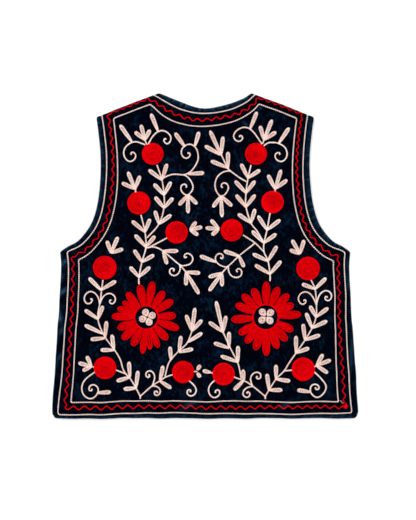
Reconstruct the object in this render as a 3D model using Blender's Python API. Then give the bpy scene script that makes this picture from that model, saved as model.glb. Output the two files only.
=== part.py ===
"""Embroidered velvet waistcoat laid flat with its back uppermost.

The hem edge runs along X, +Y points to the neck and +Z up. Sizes are in millimetres until a mesh is made.
"""

import math

import bmesh
import bpy
import numpy as np
from mathutils import Vector, geometry

MM = 0.001

# Cloth
WALL = 2.0
SEAM_GAP = 0.3
UPPER_LEVEL = WALL + SEAM_GAP + WALL
ROLL_WIDTH = 8.0
ROLL_DROP = WALL + SEAM_GAP
EDGE_ROUND = 1.2
EDGE_DROP = 0.7
BINDING_PROUD = 0.4
CURVE_STEP = 17.0
STRAIGHT_STEP = 30.0
END_HOLDS = (5.0, 11.0)
GRID_STEP = 29.0

# Embroidery, which stands on the back panel
YARN_CLEARANCE = 0.35
YARN_HEIGHT = 1.0
DISC_HEIGHT = 1.5
FLOWER_HEIGHT = 1.3
LINE_WIDTH = 3.0
STEM_WIDTH = 3.3
STEM_STEP = 9.5
LEAF_WIDTH = 7.5
PETAL_WIDTH = 13.2
PETAL_FILL = 0.8
RING_INNER = 18.0
RING_OUTER = 21.5
DOT_RADIUS = 5.8
DOT_PLACE = 8.0
DISC_SIDES = 20
DISC_MARGIN = 0.6
LINE_END_SHORT = 10.0

# The neck edge from -X to +X, and the rest of the outline on the +X side: x, y
NECK = ((-74, 260.5), (-62, 255.7), (-43, 247.4), (-24, 240.3), (-10, 236.7))
NECK += ((0, 235.6), (10, 236.5), (24, 239.4), (43, 244.3), (62, 252), (74, 260.5))
SHOULDER = ((74, 260.5), (122, 242.8), (174.4, 221.9))
ARMHOLE = (
    (174.4, 221.9),
    (171, 198),
    (167.3, 160),
    (168, 120),
    (172.6, 83),
    (182.5, 51),
    (202, 25),
    (220, 14.5),
    (232.5, 6),
)
SIDE = ((232.5, 6), (230.7, -19.7), (233.4, -71), (238.4, -148), (242.7, -212), (245, -250), (240.5, -260.5))
HEM = ((240.5, -260.5), (0, -260.5))

# Half of a front panel's neckline, from the centre front up to the shoulder: x, y
FRONT_NECK = ((1.5, 92), (22, 112), (46, 150), (66, 200), (80, 262))
FRONT_MEETING = 1.5
FRONT_INSET = {"shoulder_right": 13.0, "armhole_right": 10.0, "side_right": 14.0, "hem": 1.0}

# Distance of each stitched line from the garment's edge. Where it changes along an edge it is listed at even
# steps, clockwise, and 0 is a line that stops at that edge
OUTER_LINE = {
    "neck": (7.0, 9.6, 11.1, 9.6, 8.0, 8.9, 9.4, 8.0, 6.0),
    "shoulder_right": (0.0,),
    "armhole_right": (11.0, 10.4, 11.4, 11.6, 4.8),
    "side_right": (8.8, 8.0, 10.9, 11.8, 10.6),
    "hem": (9.3, 7.7, 6.9, 7.9, 8.2, 9.0, 7.7, 6.7, 6.2),
    "side_left": (9.0, 11.7, 12.2, 13.0, 11.5),
    "armhole_left": (6.6, 9.2, 9.4, 9.8, 9.4),
    "shoulder_left": (0.0,),
}
INNER_LINE = {
    "neck": (25.0, 29.5, 31.8, 30.6, 28.6, 28.9, 29.0, 26.8, 22.5),
    "shoulder_right": (12.4,),
    "armhole_right": (27.2, 27.0, 28.6, 29.0, 26.0),
    "side_right": (26.2, 25.4, 28.6, 31.4, 30.0),
    "hem": (27.0, 27.0, 26.1, 28.2, 27.2, 27.8, 27.5, 26.2, 26.6),
    "side_left": (29.5, 30.4, 30.0, 30.4, 28.0),
    "armhole_left": (26.0, 27.4, 28.0, 26.8, 26.9),
    "shoulder_left": (12.4,),
}
LINE_TO_SEAM = 2.1

# Low swells of the laid cloth: x, y, radius along X, radius along Y, height
SWELLS = (
    (-75, 150, 60, 45, 0.7),
    (60, 105, 75, 50, 0.8),
    (-30, 20, 90, 50, 0.6),
    (130, -40, 60, 70, 0.7),
    (-150, -90, 55, 60, 0.8),
    (10, -130, 80, 55, 0.7),
    (150, -190, 60, 45, 0.6),
    (-90, -205, 85, 40, 0.6),
)

# The embroidery chart has squares of 1.6 mm, counted across and down. This square is the garment's centre.
SQUARE = 1.6
CENTRE_COLUMN = 205.2
CENTRE_ROW = 255.7

# Filled discs: name, column, row, radius in squares
DISCS = (
    ("disc_left_1", 152.8, 154.0, 10.9),
    ("disc_left_2", 138.8, 203.1, 11.6),
    ("disc_left_3", 176.7, 232.3, 11.2),
    ("disc_left_4", 104.8, 267.6, 11.9),
    ("disc_left_5", 105.1, 367.9, 11.4),
    ("disc_left_6", 183.2, 371.9, 11.2),
    ("disc_right_1", 255.9, 154.0, 11.0),
    ("disc_right_2", 272.6, 202.0, 11.3),
    ("disc_right_3", 231.8, 230.3, 11.2),
    ("disc_right_4", 308.0, 268.6, 11.8),
    ("disc_right_5", 303.1, 369.1, 11.8),
    ("disc_right_6", 223.5, 374.0, 11.3),
)

# Flowers: side, column, row, turn of the four dots, then petals as compass bearing and reach in squares
FLOWERS = (
    (
        "left",
        146.5,
        317.5,
        -22,
        ((348, 34), (10, 37), (34, 32), (57, 32), (86, 30), (109, 35), (136, 31), (158, 33), (173, 33))
        + ((186, 37), (206, 32), (228, 33), (249, 31), (272, 35), (288, 31), (304, 29), (322, 32)),
    ),
    (
        "right",
        266.0,
        317.1,
        45,
        ((1, 36), (23, 33), (45, 33), (65, 31), (85, 36), (116, 31), (138, 32), (159, 34), (179, 39))
        + ((198, 35), (218, 33), (238, 32), (266, 35), (293, 33), (314, 33), (336, 32)),
    ),
)

# Stems and tendrils: a smooth line through each row of squares
STEMS = (
    ((145, 145), (132, 142), (125, 146), (123, 153), (125, 160), (131, 162), (136, 159), (136, 153), (132, 154)),
    ((148, 142), (158, 131), (163, 130), (170, 134), (171, 140), (167, 144), (164, 141), (166, 139)),
    ((157, 165), (162, 180), (164, 195), (164, 208), (159, 224), (147, 238)),
    ((162, 180), (172, 175), (185, 175), (190, 172), (196, 166), (198, 158), (198, 150), (195, 146), (189, 145))
    + ((184, 147), (181, 152), (184, 158), (188, 158), (190, 155), (188, 153)),
    ((185, 175), (191, 179), (194, 186), (193, 191), (188, 195), (183, 192), (181, 188), (183, 184), (186, 185)),
    ((141, 215), (145, 232), (146, 247), (142, 262), (139, 277), (139, 283)),
    ((167, 238), (148, 248)),
    ((146, 248), (154, 247), (163, 251), (180, 265), (188, 265), (192, 261), (192, 256), (187, 253), (184, 256)),
    ((180, 265), (179, 273), (175, 276), (170, 274), (169, 270), (173, 268)),
    ((180, 265), (186, 272)),
    ((103, 280), (101, 290), (100, 301), (98, 319), (104, 337), (114, 350), (122, 361), (124, 371), (130, 377))
    + ((136, 388), (140, 397)),
    ((100, 301), (97, 296), (92, 292), (86, 295), (85, 300), (88, 304), (92, 302)),
    ((100, 301), (104, 296), (110, 293), (115, 297), (114, 302), (111, 304), (109, 301)),
    ((116, 370), (125, 373)),
    ((94, 375), (85, 380), (82, 388), (85, 395), (91, 398), (97, 394), (98, 390), (94, 385), (90, 387)),
    ((140, 397), (152, 386), (160, 381), (165, 376), (172, 375)),
    ((165, 376), (167, 366), (171, 360), (179, 352), (188, 342), (192, 331)),
    ((153, 386), (155, 378), (153, 372), (149, 371), (146, 375), (148, 377)),
    ((153, 386), (158, 387), (160, 391), (158, 395), (154, 393)),
    ((190, 382), (195, 387), (196, 392), (191, 396), (187, 392)),
    ((262, 143), (250, 129), (244, 127), (237, 129), (233, 135), (236, 141), (241, 141), (243, 138), (241, 136)),
    ((264, 145), (271, 142), (280, 143), (286, 148), (287, 154), (284, 161), (279, 162), (275, 158), (277, 154)),
    ((251, 165), (248, 178), (246, 193), (246, 207), (251, 223), (257, 231), (263, 241)),
    ((246, 182), (230, 171), (221, 155)),
    ((230, 171), (222, 172), (217, 177), (215, 185), (217, 193), (221, 196), (227, 193), (228, 187), (225, 183))
    + ((222, 185),),
    ((270, 213), (267, 230), (264, 243), (264, 252), (268, 261), (270, 274), (270, 279)),
    ((243, 235), (255, 243), (264, 252)),
    ((255, 243), (247, 249), (239, 256), (228, 266), (219, 264), (215, 259), (218, 254), (223, 254)),
    ((228, 266), (230, 274), (236, 278), (241, 275), (241, 270), (237, 269)),
    ((228, 266), (222, 273)),
    ((311, 280), (315, 289), (316, 302), (316, 317), (312, 328), (305, 340), (296, 353), (289, 363), (284, 371))
    + ((276, 379), (269, 390), (265, 399)),
    ((316, 302), (311, 295), (305, 292), (299, 296), (299, 301), (303, 304)),
    ((316, 302), (320, 294), (326, 291), (331, 295), (329, 300), (325, 299)),
    ((284, 371), (291, 370)),
    ((315, 373), (323, 380), (326, 388), (322, 395), (316, 397), (311, 392), (311, 387), (315, 384), (318, 387)),
    ((265, 399), (253, 387), (244, 380), (235, 377)),
    ((242, 379), (238, 362), (229, 348), (223, 332)),
    ((253, 387), (250, 380), (252, 374), (257, 372), (260, 376), (258, 379)),
    ((253, 387), (246, 388), (243, 393), (246, 397), (250, 395)),
    ((214, 382), (208, 386), (208, 393), (214, 397), (219, 394), (218, 391)),
)

# Sprays of leaves: the square of their foot, then the square of each leaf's tip
SPRAYS = (
    ((145, 140), (135, 132), (141, 125), (150, 130)),
    ((132, 142), (120, 125)),
    ((158, 131), (151, 114)),
    ((162, 180), (149, 170), (167, 164)),
    ((164, 195), (154, 184), (171, 182)),
    ((164, 208), (155, 197), (173, 198)),
    ((159, 224), (155, 211), (171, 215)),
    ((188, 174), (204, 173)),
    ((185, 147), (175, 133)),
    ((195, 146), (199, 132)),
    ((188, 195), (179, 205), (188, 213), (197, 204)),
    ((135, 189), (122, 183), (128, 172), (140, 176)),
    ((145, 232), (132, 221), (150, 219)),
    ((146, 247), (135, 235), (155, 236)),
    ((142, 262), (134, 250), (154, 255)),
    ((139, 277), (130, 267), (150, 267)),
    ((190, 230), (196, 222), (202, 227), (198, 235)),
    ((163, 251), (178, 251), (167, 264)),
    ((186, 272), (200, 273), (186, 285), (199, 294)),
    ((111, 253), (107, 241), (118, 237), (123, 249)),
    ((101, 290), (89, 278), (116, 281)),
    ((98, 319), (85, 310), (103, 306)),
    ((104, 337), (84, 324), (107, 321), (90, 340)),
    ((114, 350), (101, 350), (112, 335)),
    ((130, 377), (129, 362), (117, 381)),
    ((136, 388), (138, 371), (124, 389)),
    ((92, 366), (87, 356), (78, 363), (82, 371)),
    ((98, 391), (111, 392)),
    ((160, 381), (163, 366), (171, 388)),
    ((171, 360), (170, 347)),
    ((179, 352), (181, 336), (193, 349)),
    ((188, 342), (202, 333)),
    ((192, 331), (186, 315), (195, 308), (202, 320)),
    ((195, 371), (201, 365), (201, 377)),
    ((264, 140), (260, 126), (272, 120), (276, 132)),
    ((250, 129), (257, 112)),
    ((279, 143), (289, 128)),
    ((248, 178), (241, 164), (260, 170)),
    ((246, 193), (235, 181), (255, 181)),
    ((246, 207), (236, 195), (255, 195)),
    ((251, 223), (238, 214), (255, 209)),
    ((228, 168), (211, 161), (228, 152)),
    ((221, 155), (205, 146), (210, 131), (223, 137)),
    ((221, 196), (213, 207), (222, 217), (232, 206)),
    ((275, 189), (268, 175), (281, 170), (287, 180)),
    ((267, 230), (258, 216), (280, 220)),
    ((264, 243), (252, 231), (276, 234)),
    ((268, 261), (253, 254), (277, 246)),
    ((270, 274), (255, 265), (281, 261)),
    ((219, 229), (211, 220), (206, 228), (212, 235)),
    ((239, 256), (224, 251), (244, 267)),
    ((216, 262), (200, 256)),
    ((222, 273), (209, 277), (222, 286), (209, 291)),
    ((300, 254), (290, 250), (292, 240), (304, 240)),
    ((315, 289), (302, 284), (326, 278)),
    ((316, 317), (310, 306), (328, 308)),
    ((312, 328), (306, 313), (327, 321)),
    ((305, 340), (303, 324), (320, 335)),
    ((296, 353), (296, 336), (309, 348)),
    ((276, 379), (276, 365), (290, 381)),
    ((269, 390), (267, 374), (282, 390)),
    ((317, 366), (323, 354), (331, 360), (328, 373)),
    ((311, 391), (296, 390)),
    ((244, 380), (243, 370), (234, 390)),
    ((238, 362), (238, 346), (221, 356)),
    ((229, 348), (229, 332), (214, 343)),
    ((223, 332), (216, 301), (226, 316), (209, 322)),
    ((210, 373), (202, 370)),
)

# Half width along a leaf and along a petal: share of the length, share of the full width
LEAF_PROFILE = ((0.0, 0.4), (0.45, 0.95), (0.86, 0.75))
PETAL_PROFILE = ((0.0, 0.6), (0.5, 0.94), (0.82, 1.0), (0.96, 0.6))

# Cross-section of a binding: share across from the garment's edge, share of the height
BINDING_SECTION = ((0.0, 0.5), (0.12, 0.0), (0.92, 0.0), (1.0, 0.45), (0.86, 1.0), (0.18, 1.0))


def square(column, row):
    """The place in millimetres of a square of the embroidery chart."""
    return ((column - CENTRE_COLUMN) * SQUARE, (CENTRE_ROW - row) * SQUARE)


def mirrored(path):
    """The same path on the other half, run the other way."""
    return [(-x, y) for x, y in reversed(path)]


def length_of(path):
    return float(np.hypot(*np.diff(np.array(path, float), axis=0).T).sum())


def shares_along(length, step, held=False):
    """Places along a path as shares of its length, with two more beside each end where it is held."""
    shares = list(np.linspace(0, 1, max(1, round(length / step)) + 1))
    for hold in END_HOLDS if held else ():
        for extra in (hold / length, 1 - hold / length):
            shares = [s for s in shares if abs(s - extra) * length > 4 or s in (0, 1)] + [extra]
    return sorted(shares)


def sampled(path, shares):
    """The points of a path at these shares of its length."""
    path = np.array(path, float)
    along = np.concatenate([[0], np.cumsum(np.hypot(*np.diff(path, axis=0).T))])
    at = np.array(shares) * along[-1]
    return [(float(x), float(y)) for x, y in zip(np.interp(at, along, path[:, 0]), np.interp(at, along, path[:, 1]))]


def curve(points, step, held=False):
    """A smooth line through the points, in steps of about this length."""
    p = np.array(points, float)
    p = np.vstack([2 * p[0] - p[1], p, 2 * p[-1] - p[-2]])
    fine = []
    for a, b, c, d in zip(p, p[1:], p[2:], p[3:]):
        for t in np.arange(0, 1, 0.1):
            bend = (2 * a - 5 * b + 4 * c - d) * t**2 + (3 * b - a - 3 * c + d) * t**3
            fine.append(b + 0.5 * ((c - a) * t + bend))
    fine.append(p[-2])
    return sampled(fine, shares_along(length_of(fine), step, held))


def beside(path, distance, closed=False):
    """The path moved to its right by this distance, mitred at its points."""
    p = np.array(path, float)
    steps = np.diff(np.vstack([p, p[:1]]) if closed else p, axis=0)
    steps /= np.hypot(*steps.T)[:, None]
    right = np.stack([steps[:, 1], -steps[:, 0]], axis=1)
    before = np.roll(right, 1, axis=0) if closed else np.vstack([right[:1], right])
    after = right if closed else np.vstack([right, right[-1:]])
    shift = (before + after) / (1 + (before * after).sum(1))[:, None]
    return [(float(x), float(y)) for x, y in p + np.reshape(distance, (-1, 1)) * shift]


def crossing(a, b, c, d):
    """Where segment ab meets segment cd, or None."""
    met = geometry.intersect_line_line_2d(Vector(a), Vector(b), Vector(c), Vector(d))
    return None if met is None else (met.x, met.y)


def lengthened(path, reach=60.0):
    """The path with both ends drawn out straight."""
    p = [Vector(q) for q in path]
    first = p[0] + (p[0] - p[1]).normalized() * reach
    last = p[-1] + (p[-1] - p[-2]).normalized() * reach
    return [tuple(first)] + list(path[1:-1]) + [tuple(last)]


def loop_of(paths):
    """One closed outline from paths that cross each other in turn."""
    drawn = [lengthened(path) for path in paths]
    for i in range(len(drawn)):
        one, two = drawn[i], drawn[(i + 1) % len(drawn)]
        found = None
        for m in range(len(one) - 2, -1, -1):
            for n in range(len(two) - 1):
                met = crossing(one[m], one[m + 1], two[n], two[n + 1])
                if met and not found:
                    found = (m, n, met)
        m, n, met = found
        drawn[i] = one[: m + 1] + [met]
        drawn[(i + 1) % len(drawn)] = [met] + two[n + 1 :]
    return [point for path in drawn for point in path[:-1]], drawn


def outline_edges():
    """The garment's edges by name, clockwise from the neck."""
    neck, armhole = (curve(p, CURVE_STEP, held=True) for p in (NECK, ARMHOLE))
    shoulder, side = (curve(p, CURVE_STEP * 1.4) for p in (SHOULDER, SIDE))
    hem = curve(HEM, STRAIGHT_STEP, held=True)
    return {
        "neck": neck,
        "shoulder_right": shoulder,
        "armhole_right": armhole,
        "side_right": side,
        "hem": hem + mirrored(hem)[1:],
        "side_left": mirrored(side),
        "armhole_left": mirrored(armhole),
        "shoulder_left": mirrored(shoulder),
    }


EDGES = outline_edges()
BOUND = ("neck", "armhole_right", "hem", "armhole_left")
ROLLED = [np.array(path) for name, path in EDGES.items() if name not in BOUND]


def spread(values, count):
    """Evenly stepped values drawn out smoothly to this many."""
    if len(values) == 1:
        return np.full(count, values[0])
    x, y = np.array(curve(list(enumerate(values)), 0.05)).T
    return np.interp(np.linspace(0, len(values) - 1, count), x, y)


def inset_loop(distances):
    """The outline moved inwards by the distances of each edge, and its edges by name."""
    paths = [beside(path, spread(distances[name], len(path))) for name, path in EDGES.items()]
    points, drawn = loop_of(paths)
    return points, dict(zip(EDGES, drawn))


def seam(gap):
    """Distances of the seam between panel and binding, which runs beside the outer line."""
    return {name: [d - LINE_TO_SEAM + gap if name in BOUND else 0.0 for d in row] for name, row in OUTER_LINE.items()}


def distance_to(path, x, y):
    """The distance from a point to the nearest place on an open path."""
    a, b = path[:-1], path[1:]
    along = b - a
    t = np.clip((((x, y) - a) * along).sum(1) / (along**2).sum(1), 0, 1)
    return float(np.hypot(*(a + along * t[:, None] - (x, y)).T).min())


def eased(t):
    t = min(max(t, 0.0), 1.0)
    return t * t * (3 - 2 * t)


def cloth_top(x, y):
    """Height of the back's upper face, which swells a little and rolls down to the side and shoulder seams."""
    from_roll = min(distance_to(path, x, y) for path in ROLLED)
    swell = sum(h * math.exp(-(((x - cx) / rx) ** 2) - ((y - cy) / ry) ** 2) for cx, cy, rx, ry, h in SWELLS)
    return UPPER_LEVEL + swell * eased(from_roll / 40) - ROLL_DROP * (1 - eased(from_roll / ROLL_WIDTH))


def cloth_underside(x, y):
    return cloth_top(x, y) - WALL


def yarn_foot(x, y):
    return cloth_top(x, y) + YARN_CLEARANCE


def yarn_crest(x, y):
    return yarn_foot(x, y) + YARN_HEIGHT


def petal_crest(x, y):
    return yarn_foot(x, y) + FLOWER_HEIGHT


def with_round_edge(top, outline):
    """The height function, lowered along the outline so that the cut edge is soft."""
    closed = np.array(outline + outline[:1])

    def height(x, y):
        return top(x, y) - EDGE_DROP * (1 - eased(distance_to(closed, x, y) / EDGE_ROUND))

    return height


def turned_left(polygon):
    """The polygon with its points in counter-clockwise order."""
    x, y = np.array(polygon, float).T
    area = (x * np.roll(y, -1) - y * np.roll(x, -1)).sum()
    return list(polygon) if area > 0 else list(reversed(polygon))


def joined_flat(polygons, inner_points=()):
    """Points and triangles of the shape that the polygons cover together."""
    points, faces = [], []
    for polygon in polygons:
        faces.append(list(range(len(points), len(points) + len(polygon))))
        points += turned_left(polygon)
    points += list(inner_points)
    found = geometry.delaunay_2d_cdt([Vector(p) for p in points], [], faces, 1, 0.03)
    covered = [face for face, sources in zip(found[2], found[5]) if sources]
    return [tuple(p) for p in found[0]], covered


def material(name, colour, roughness):
    made = bpy.data.materials.new(name)
    made.use_nodes = True
    shader = made.node_tree.nodes["Principled BSDF"]
    shader.inputs["Base Color"].default_value = (*colour, 1.0)
    shader.inputs["Roughness"].default_value = roughness
    shader.inputs["Metallic"].default_value = 0.0
    made.diffuse_color = (*colour, 1.0)
    return made


def place(name, bm, finish, at=(0.0, 0.0)):
    """Turns a bmesh in millimetres into a named object whose origin is at this place."""
    bmesh.ops.recalc_face_normals(bm, faces=bm.faces[:])
    bmesh.ops.translate(bm, verts=bm.verts[:], vec=(-at[0], -at[1], 0))
    bmesh.ops.scale(bm, verts=bm.verts[:], vec=(MM, MM, MM))
    mesh = bpy.data.meshes.new(name)
    bm.to_mesh(mesh)
    bm.free()
    mesh.materials.append(finish)
    piece = bpy.data.objects.new(name, mesh)
    piece.location = (at[0] * MM, at[1] * MM, 0)
    piece.parent = VEST
    bpy.context.scene.collection.objects.link(piece)
    mesh.shade_smooth()
    mesh.set_sharp_from_angle(angle=math.radians(40))
    return piece


def slab(name, points, faces, foot, top, finish, at=(0.0, 0.0)):
    """A closed piece between two height functions, over a flat shape."""
    bm = bmesh.new()
    corners = [bm.verts.new((x, y, 0)) for x, y in points]
    for face in faces:
        bm.faces.new([corners[i] for i in face])
    loose = [v for v in bm.verts if not v.link_faces]
    bmesh.ops.delete(bm, geom=loose, context="VERTS")
    made = bmesh.ops.extrude_face_region(bm, geom=bm.faces[:], use_keep_orig=True)
    upper = {item for item in made["geom"] if isinstance(item, bmesh.types.BMVert)}
    for v in bm.verts:
        v.co.z = top(v.co.x, v.co.y) if v in upper else foot(v.co.x, v.co.y)
    return place(name, bm, finish, at)


def ribbon_sides(path, width, closed=False):
    return beside(path, -width / 2, closed), beside(path, width / 2, closed)


def ribbon(name, path, width, finish, closed=False):
    """A flat line of stitching along a path."""
    left, right = ribbon_sides(path, width, closed)
    count = len(path)
    faces = [(i, (i + 1) % count, count + (i + 1) % count, count + i) for i in range(count if closed else count - 1)]
    return slab(name, left + right, faces, yarn_foot, yarn_crest, finish)


def tapered(foot, tip, width, profile):
    """Outline of a leaf or petal that ends in a round tip."""
    foot, tip = Vector(foot), Vector(tip)
    along = tip - foot
    across = Vector((-along.y, along.x)).normalized() * width / 2
    one = [foot + along * t + across * w for t, w in profile]
    two = [foot + along * t - across * w for t, w in reversed(profile)]
    return [tuple(p) for p in one + [tip] + two]


def ring_points(centre, radius, sides, turn=0.0):
    angles = [turn + math.tau * i / sides for i in range(sides)]
    return [(centre[0] + radius * math.cos(a), centre[1] + radius * math.sin(a)) for a in angles]


def make_back(velvet):
    panel = seam(SEAM_GAP)
    outline, _ = inset_loop(panel)
    inner = []
    for step in (EDGE_ROUND, ROLL_WIDTH + 1):
        inner += inset_loop({name: [d + step for d in row] for name, row in panel.items()})[0]
    for path in ROLLED:
        inner += beside(path, ROLL_WIDTH / 2)[1:-1]
    closed = np.array(outline + outline[:1])
    half = GRID_STEP * 9
    for x in np.arange(-half, half + 1, GRID_STEP):
        for y in np.arange(-half, half + 1, GRID_STEP):
            if distance_to(closed, x, y) > GRID_STEP * 0.6:
                inner.append((float(x), float(y)))
    points, faces = joined_flat([outline], inner)
    slab("back", points, faces, cloth_underside, with_round_edge(cloth_top, outline), velvet)


def make_front(side, velvet):
    """One of the two fronts, which lie side by side under the back."""
    paths = [curve(FRONT_NECK, CURVE_STEP * 2)]
    for name, distance in FRONT_INSET.items():
        paths.append(beside([p for p in EDGES[name] if p[0] > -1], distance))
    paths.append([(FRONT_MEETING, -280.0), (FRONT_MEETING, 110.0)])
    outline, _ = loop_of(paths)
    if side == "left":
        outline = mirrored(outline)
    inner = []
    centre = np.mean(np.array(outline), axis=0)
    for x, y in outline:
        toward = Vector((centre[0] - x, centre[1] - y)).normalized()
        inner.append((x + toward.x * 2, y + toward.y * 2))
    points, faces = joined_flat([outline], inner)
    slab(f"front_{side}", points, faces, lambda x, y: 0.0, with_round_edge(lambda x, y: WALL, outline), velvet)


def make_bindings(finish):
    """The narrow strips that bind the neck, the armholes and the hem."""
    _, trimmed = inset_loop(seam(0.0))
    for edge in BOUND:
        name = edge.replace("armhole", "armhole_binding") if "armhole" in edge else f"{edge}_binding"
        outer = EDGES[edge]
        step = STRAIGHT_STEP if name == "hem_binding" else CURVE_STEP * 0.8
        shares = shares_along(length_of(outer), step, held=True)
        outer, inner = sampled(outer, shares), sampled(trimmed[edge], shares)
        bm = bmesh.new()
        rings = []
        for a, b in zip(outer, inner):
            ring = []
            for across, up in BINDING_SECTION:
                x = a[0] + (b[0] - a[0]) * across
                y = a[1] + (b[1] - a[1]) * across
                ring.append(bm.verts.new((x, y, cloth_underside(x, y) + up * (WALL + BINDING_PROUD))))
            rings.append(ring)
        for one, two in zip(rings, rings[1:]):
            for i in range(len(one)):
                j = (i + 1) % len(one)
                bm.faces.new((one[i], one[j], two[j], two[i]))
        bm.faces.new(rings[0])
        bm.faces.new(rings[-1])
        place(name, bm, finish)


def make_lines(finish):
    """The pale lines of stitching that frame the back."""
    _, outer = inset_loop(OUTER_LINE)
    neck = shortened(outer["neck"], LINE_END_SHORT)
    body = [point for name in ("armhole_right", "side_right", "hem", "side_left") for point in outer[name][:-1]]
    body = shortened(body + outer["armhole_left"], LINE_END_SHORT)
    ribbon("outer_line_neck", neck, LINE_WIDTH, finish)
    ribbon("outer_line_body", body, LINE_WIDTH, finish)
    inner, _ = inset_loop(INNER_LINE)
    ribbon("inner_line", inner, LINE_WIDTH, finish, closed=True)


def shortened(path, amount):
    """The path with this much cut from each end."""
    p = np.array(path, float)
    along = np.concatenate([[0], np.cumsum(np.hypot(*np.diff(p, axis=0).T))])
    keep = [tuple(q) for q, s in zip(path, along) if amount + 1 < s < along[-1] - amount - 1]
    ends = [tuple(float(np.interp(s, along, p[:, k])) for k in (0, 1)) for s in (amount, along[-1] - amount)]
    return [ends[0]] + keep + [ends[1]]


def make_discs(finish):
    for name, column, row, radius in DISCS:
        centre, reach = square(column, row), radius * SQUARE
        outline = ring_points(centre, reach, DISC_SIDES)
        inner = ring_points(centre, reach * 0.6, DISC_SIDES // 2) + [centre]

        def crown(x, y):
            share = math.hypot(x - centre[0], y - centre[1]) / reach
            return yarn_foot(x, y) + DISC_HEIGHT * (1 - 0.4 * share**4)

        points, faces = joined_flat([outline], inner)
        slab(name, points, faces, yarn_foot, crown, finish, centre)


def make_flowers(petal_finish, dot_finish):
    for side, column, row, turn, petals in FLOWERS:
        centre = square(column, row)
        ring_outer = ring_points(centre, RING_OUTER, DISC_SIDES)
        ring_inner = ring_points(centre, RING_INNER, DISC_SIDES)
        shapes = []
        for i in range(DISC_SIDES):
            j = (i + 1) % DISC_SIDES
            shapes.append([ring_inner[i], ring_outer[i], ring_outer[j], ring_inner[j]])
        bearings = [bearing for bearing, _ in petals]
        for i, (bearing, reach) in enumerate(petals):
            out = Vector((math.sin(math.radians(bearing)), math.cos(math.radians(bearing))))
            foot = Vector(centre) + out * (RING_INNER + RING_OUTER) / 2
            tip = Vector(centre) + out * reach * SQUARE
            nearest = min((bearing - bearings[i - 1]) % 360, (bearings[(i + 1) % len(petals)] - bearing) % 360)
            width = min(PETAL_WIDTH, math.radians(nearest) * reach * SQUARE * PETAL_FILL)
            shapes.append(tapered(foot, tip, width, PETAL_PROFILE))
        points, faces = joined_flat(shapes)
        slab(f"flower_{side}", points, faces, yarn_foot, petal_crest, petal_finish, centre)
        dots = [ring_points(centre, DOT_RADIUS * 0.65, 4, math.radians(-turn))]
        for quarter in range(4):
            angle = math.radians(90 * quarter + turn)
            place_of_dot = (centre[0] + DOT_PLACE * math.sin(angle), centre[1] + DOT_PLACE * math.cos(angle))
            dots.append(ring_points(place_of_dot, DOT_RADIUS, 10))
        points, faces = joined_flat(dots)
        slab(f"rosette_{side}", points, faces, yarn_foot, yarn_crest, dot_finish, centre)


def clear_of_discs(point):
    """The point, moved out of any disc so that a stem stops at the disc's edge."""
    for _, column, row, radius in DISCS:
        centre = Vector(square(column, row))
        away = Vector(point) - centre
        reach = radius * SQUARE + DISC_MARGIN
        if away.length < reach:
            point = tuple(centre + away.normalized() * reach)
    return point


def islands(faces):
    """The faces in groups that share points."""
    groups = []
    for face in faces:
        touched = [g for g in groups if g[0].intersection(face)]
        points, members = set(face), [face]
        for g in touched:
            points |= g[0]
            members += g[1]
            groups.remove(g)
        groups.append((points, members))
    return groups


def make_sprays(finish):
    """The stems, tendrils and leaves, one piece for each group that touches."""
    shapes = []
    for row in STEMS:
        path = curve([square(*place_) for place_ in row], STEM_STEP)
        left, right = ribbon_sides(path, STEM_WIDTH)
        for i in range(len(path) - 1):
            shapes.append([left[i], right[i], right[i + 1], left[i + 1]])
    for foot, *tips in SPRAYS:
        for tip in tips:
            shapes.append(tapered(square(*foot), square(*tip), LEAF_WIDTH, LEAF_PROFILE))
    shapes = [[clear_of_discs(p) for p in shape] for shape in shapes]
    points, faces = joined_flat(shapes)
    found = []
    for used, members in islands(faces):
        centre = np.mean([points[i] for i in used], axis=0)
        found.append((float(centre[0]), float(centre[1]), sorted(used), members))
    counts = {"left": 0, "right": 0}
    for x, y, used, members in sorted(found, key=lambda one: -one[1]):
        side = "left" if x < 0 else "right"
        counts[side] += 1
        again = {old: new for new, old in enumerate(used)}
        shape = [points[i] for i in used]
        slab(
            f"spray_{side}_{counts[side]}",
            shape,
            [[again[i] for i in face] for face in members],
            yarn_foot,
            yarn_crest,
            finish,
            (x, y),
        )


for old in list(bpy.data.objects):
    bpy.data.objects.remove(old, do_unlink=True)

VEST = bpy.data.objects.new("vest", None)
bpy.context.scene.collection.objects.link(VEST)

NAVY_VELVET = material("navy_velvet", (0.006, 0.012, 0.035), 0.85)
VELVET_BINDING = material("velvet_binding", (0.01, 0.022, 0.05), 0.8)
RED_YARN = material("red_yarn", (0.72, 0.003, 0.01), 0.7)
PALE_YARN = material("pale_yarn", (0.85, 0.62, 0.55), 0.75)

make_back(NAVY_VELVET)
for which in ("left", "right"):
    make_front(which, NAVY_VELVET)
make_bindings(VELVET_BINDING)
make_lines(PALE_YARN)
make_discs(RED_YARN)
make_flowers(RED_YARN, PALE_YARN)
make_sprays(PALE_YARN)
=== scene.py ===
"""A velvet waistcoat with chain-stitch embroidery, laid flat with its back uppermost."""

import math

import bmesh
import bpy
import numpy as np
from mathutils import Matrix, Vector, geometry, kdtree, noise


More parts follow.
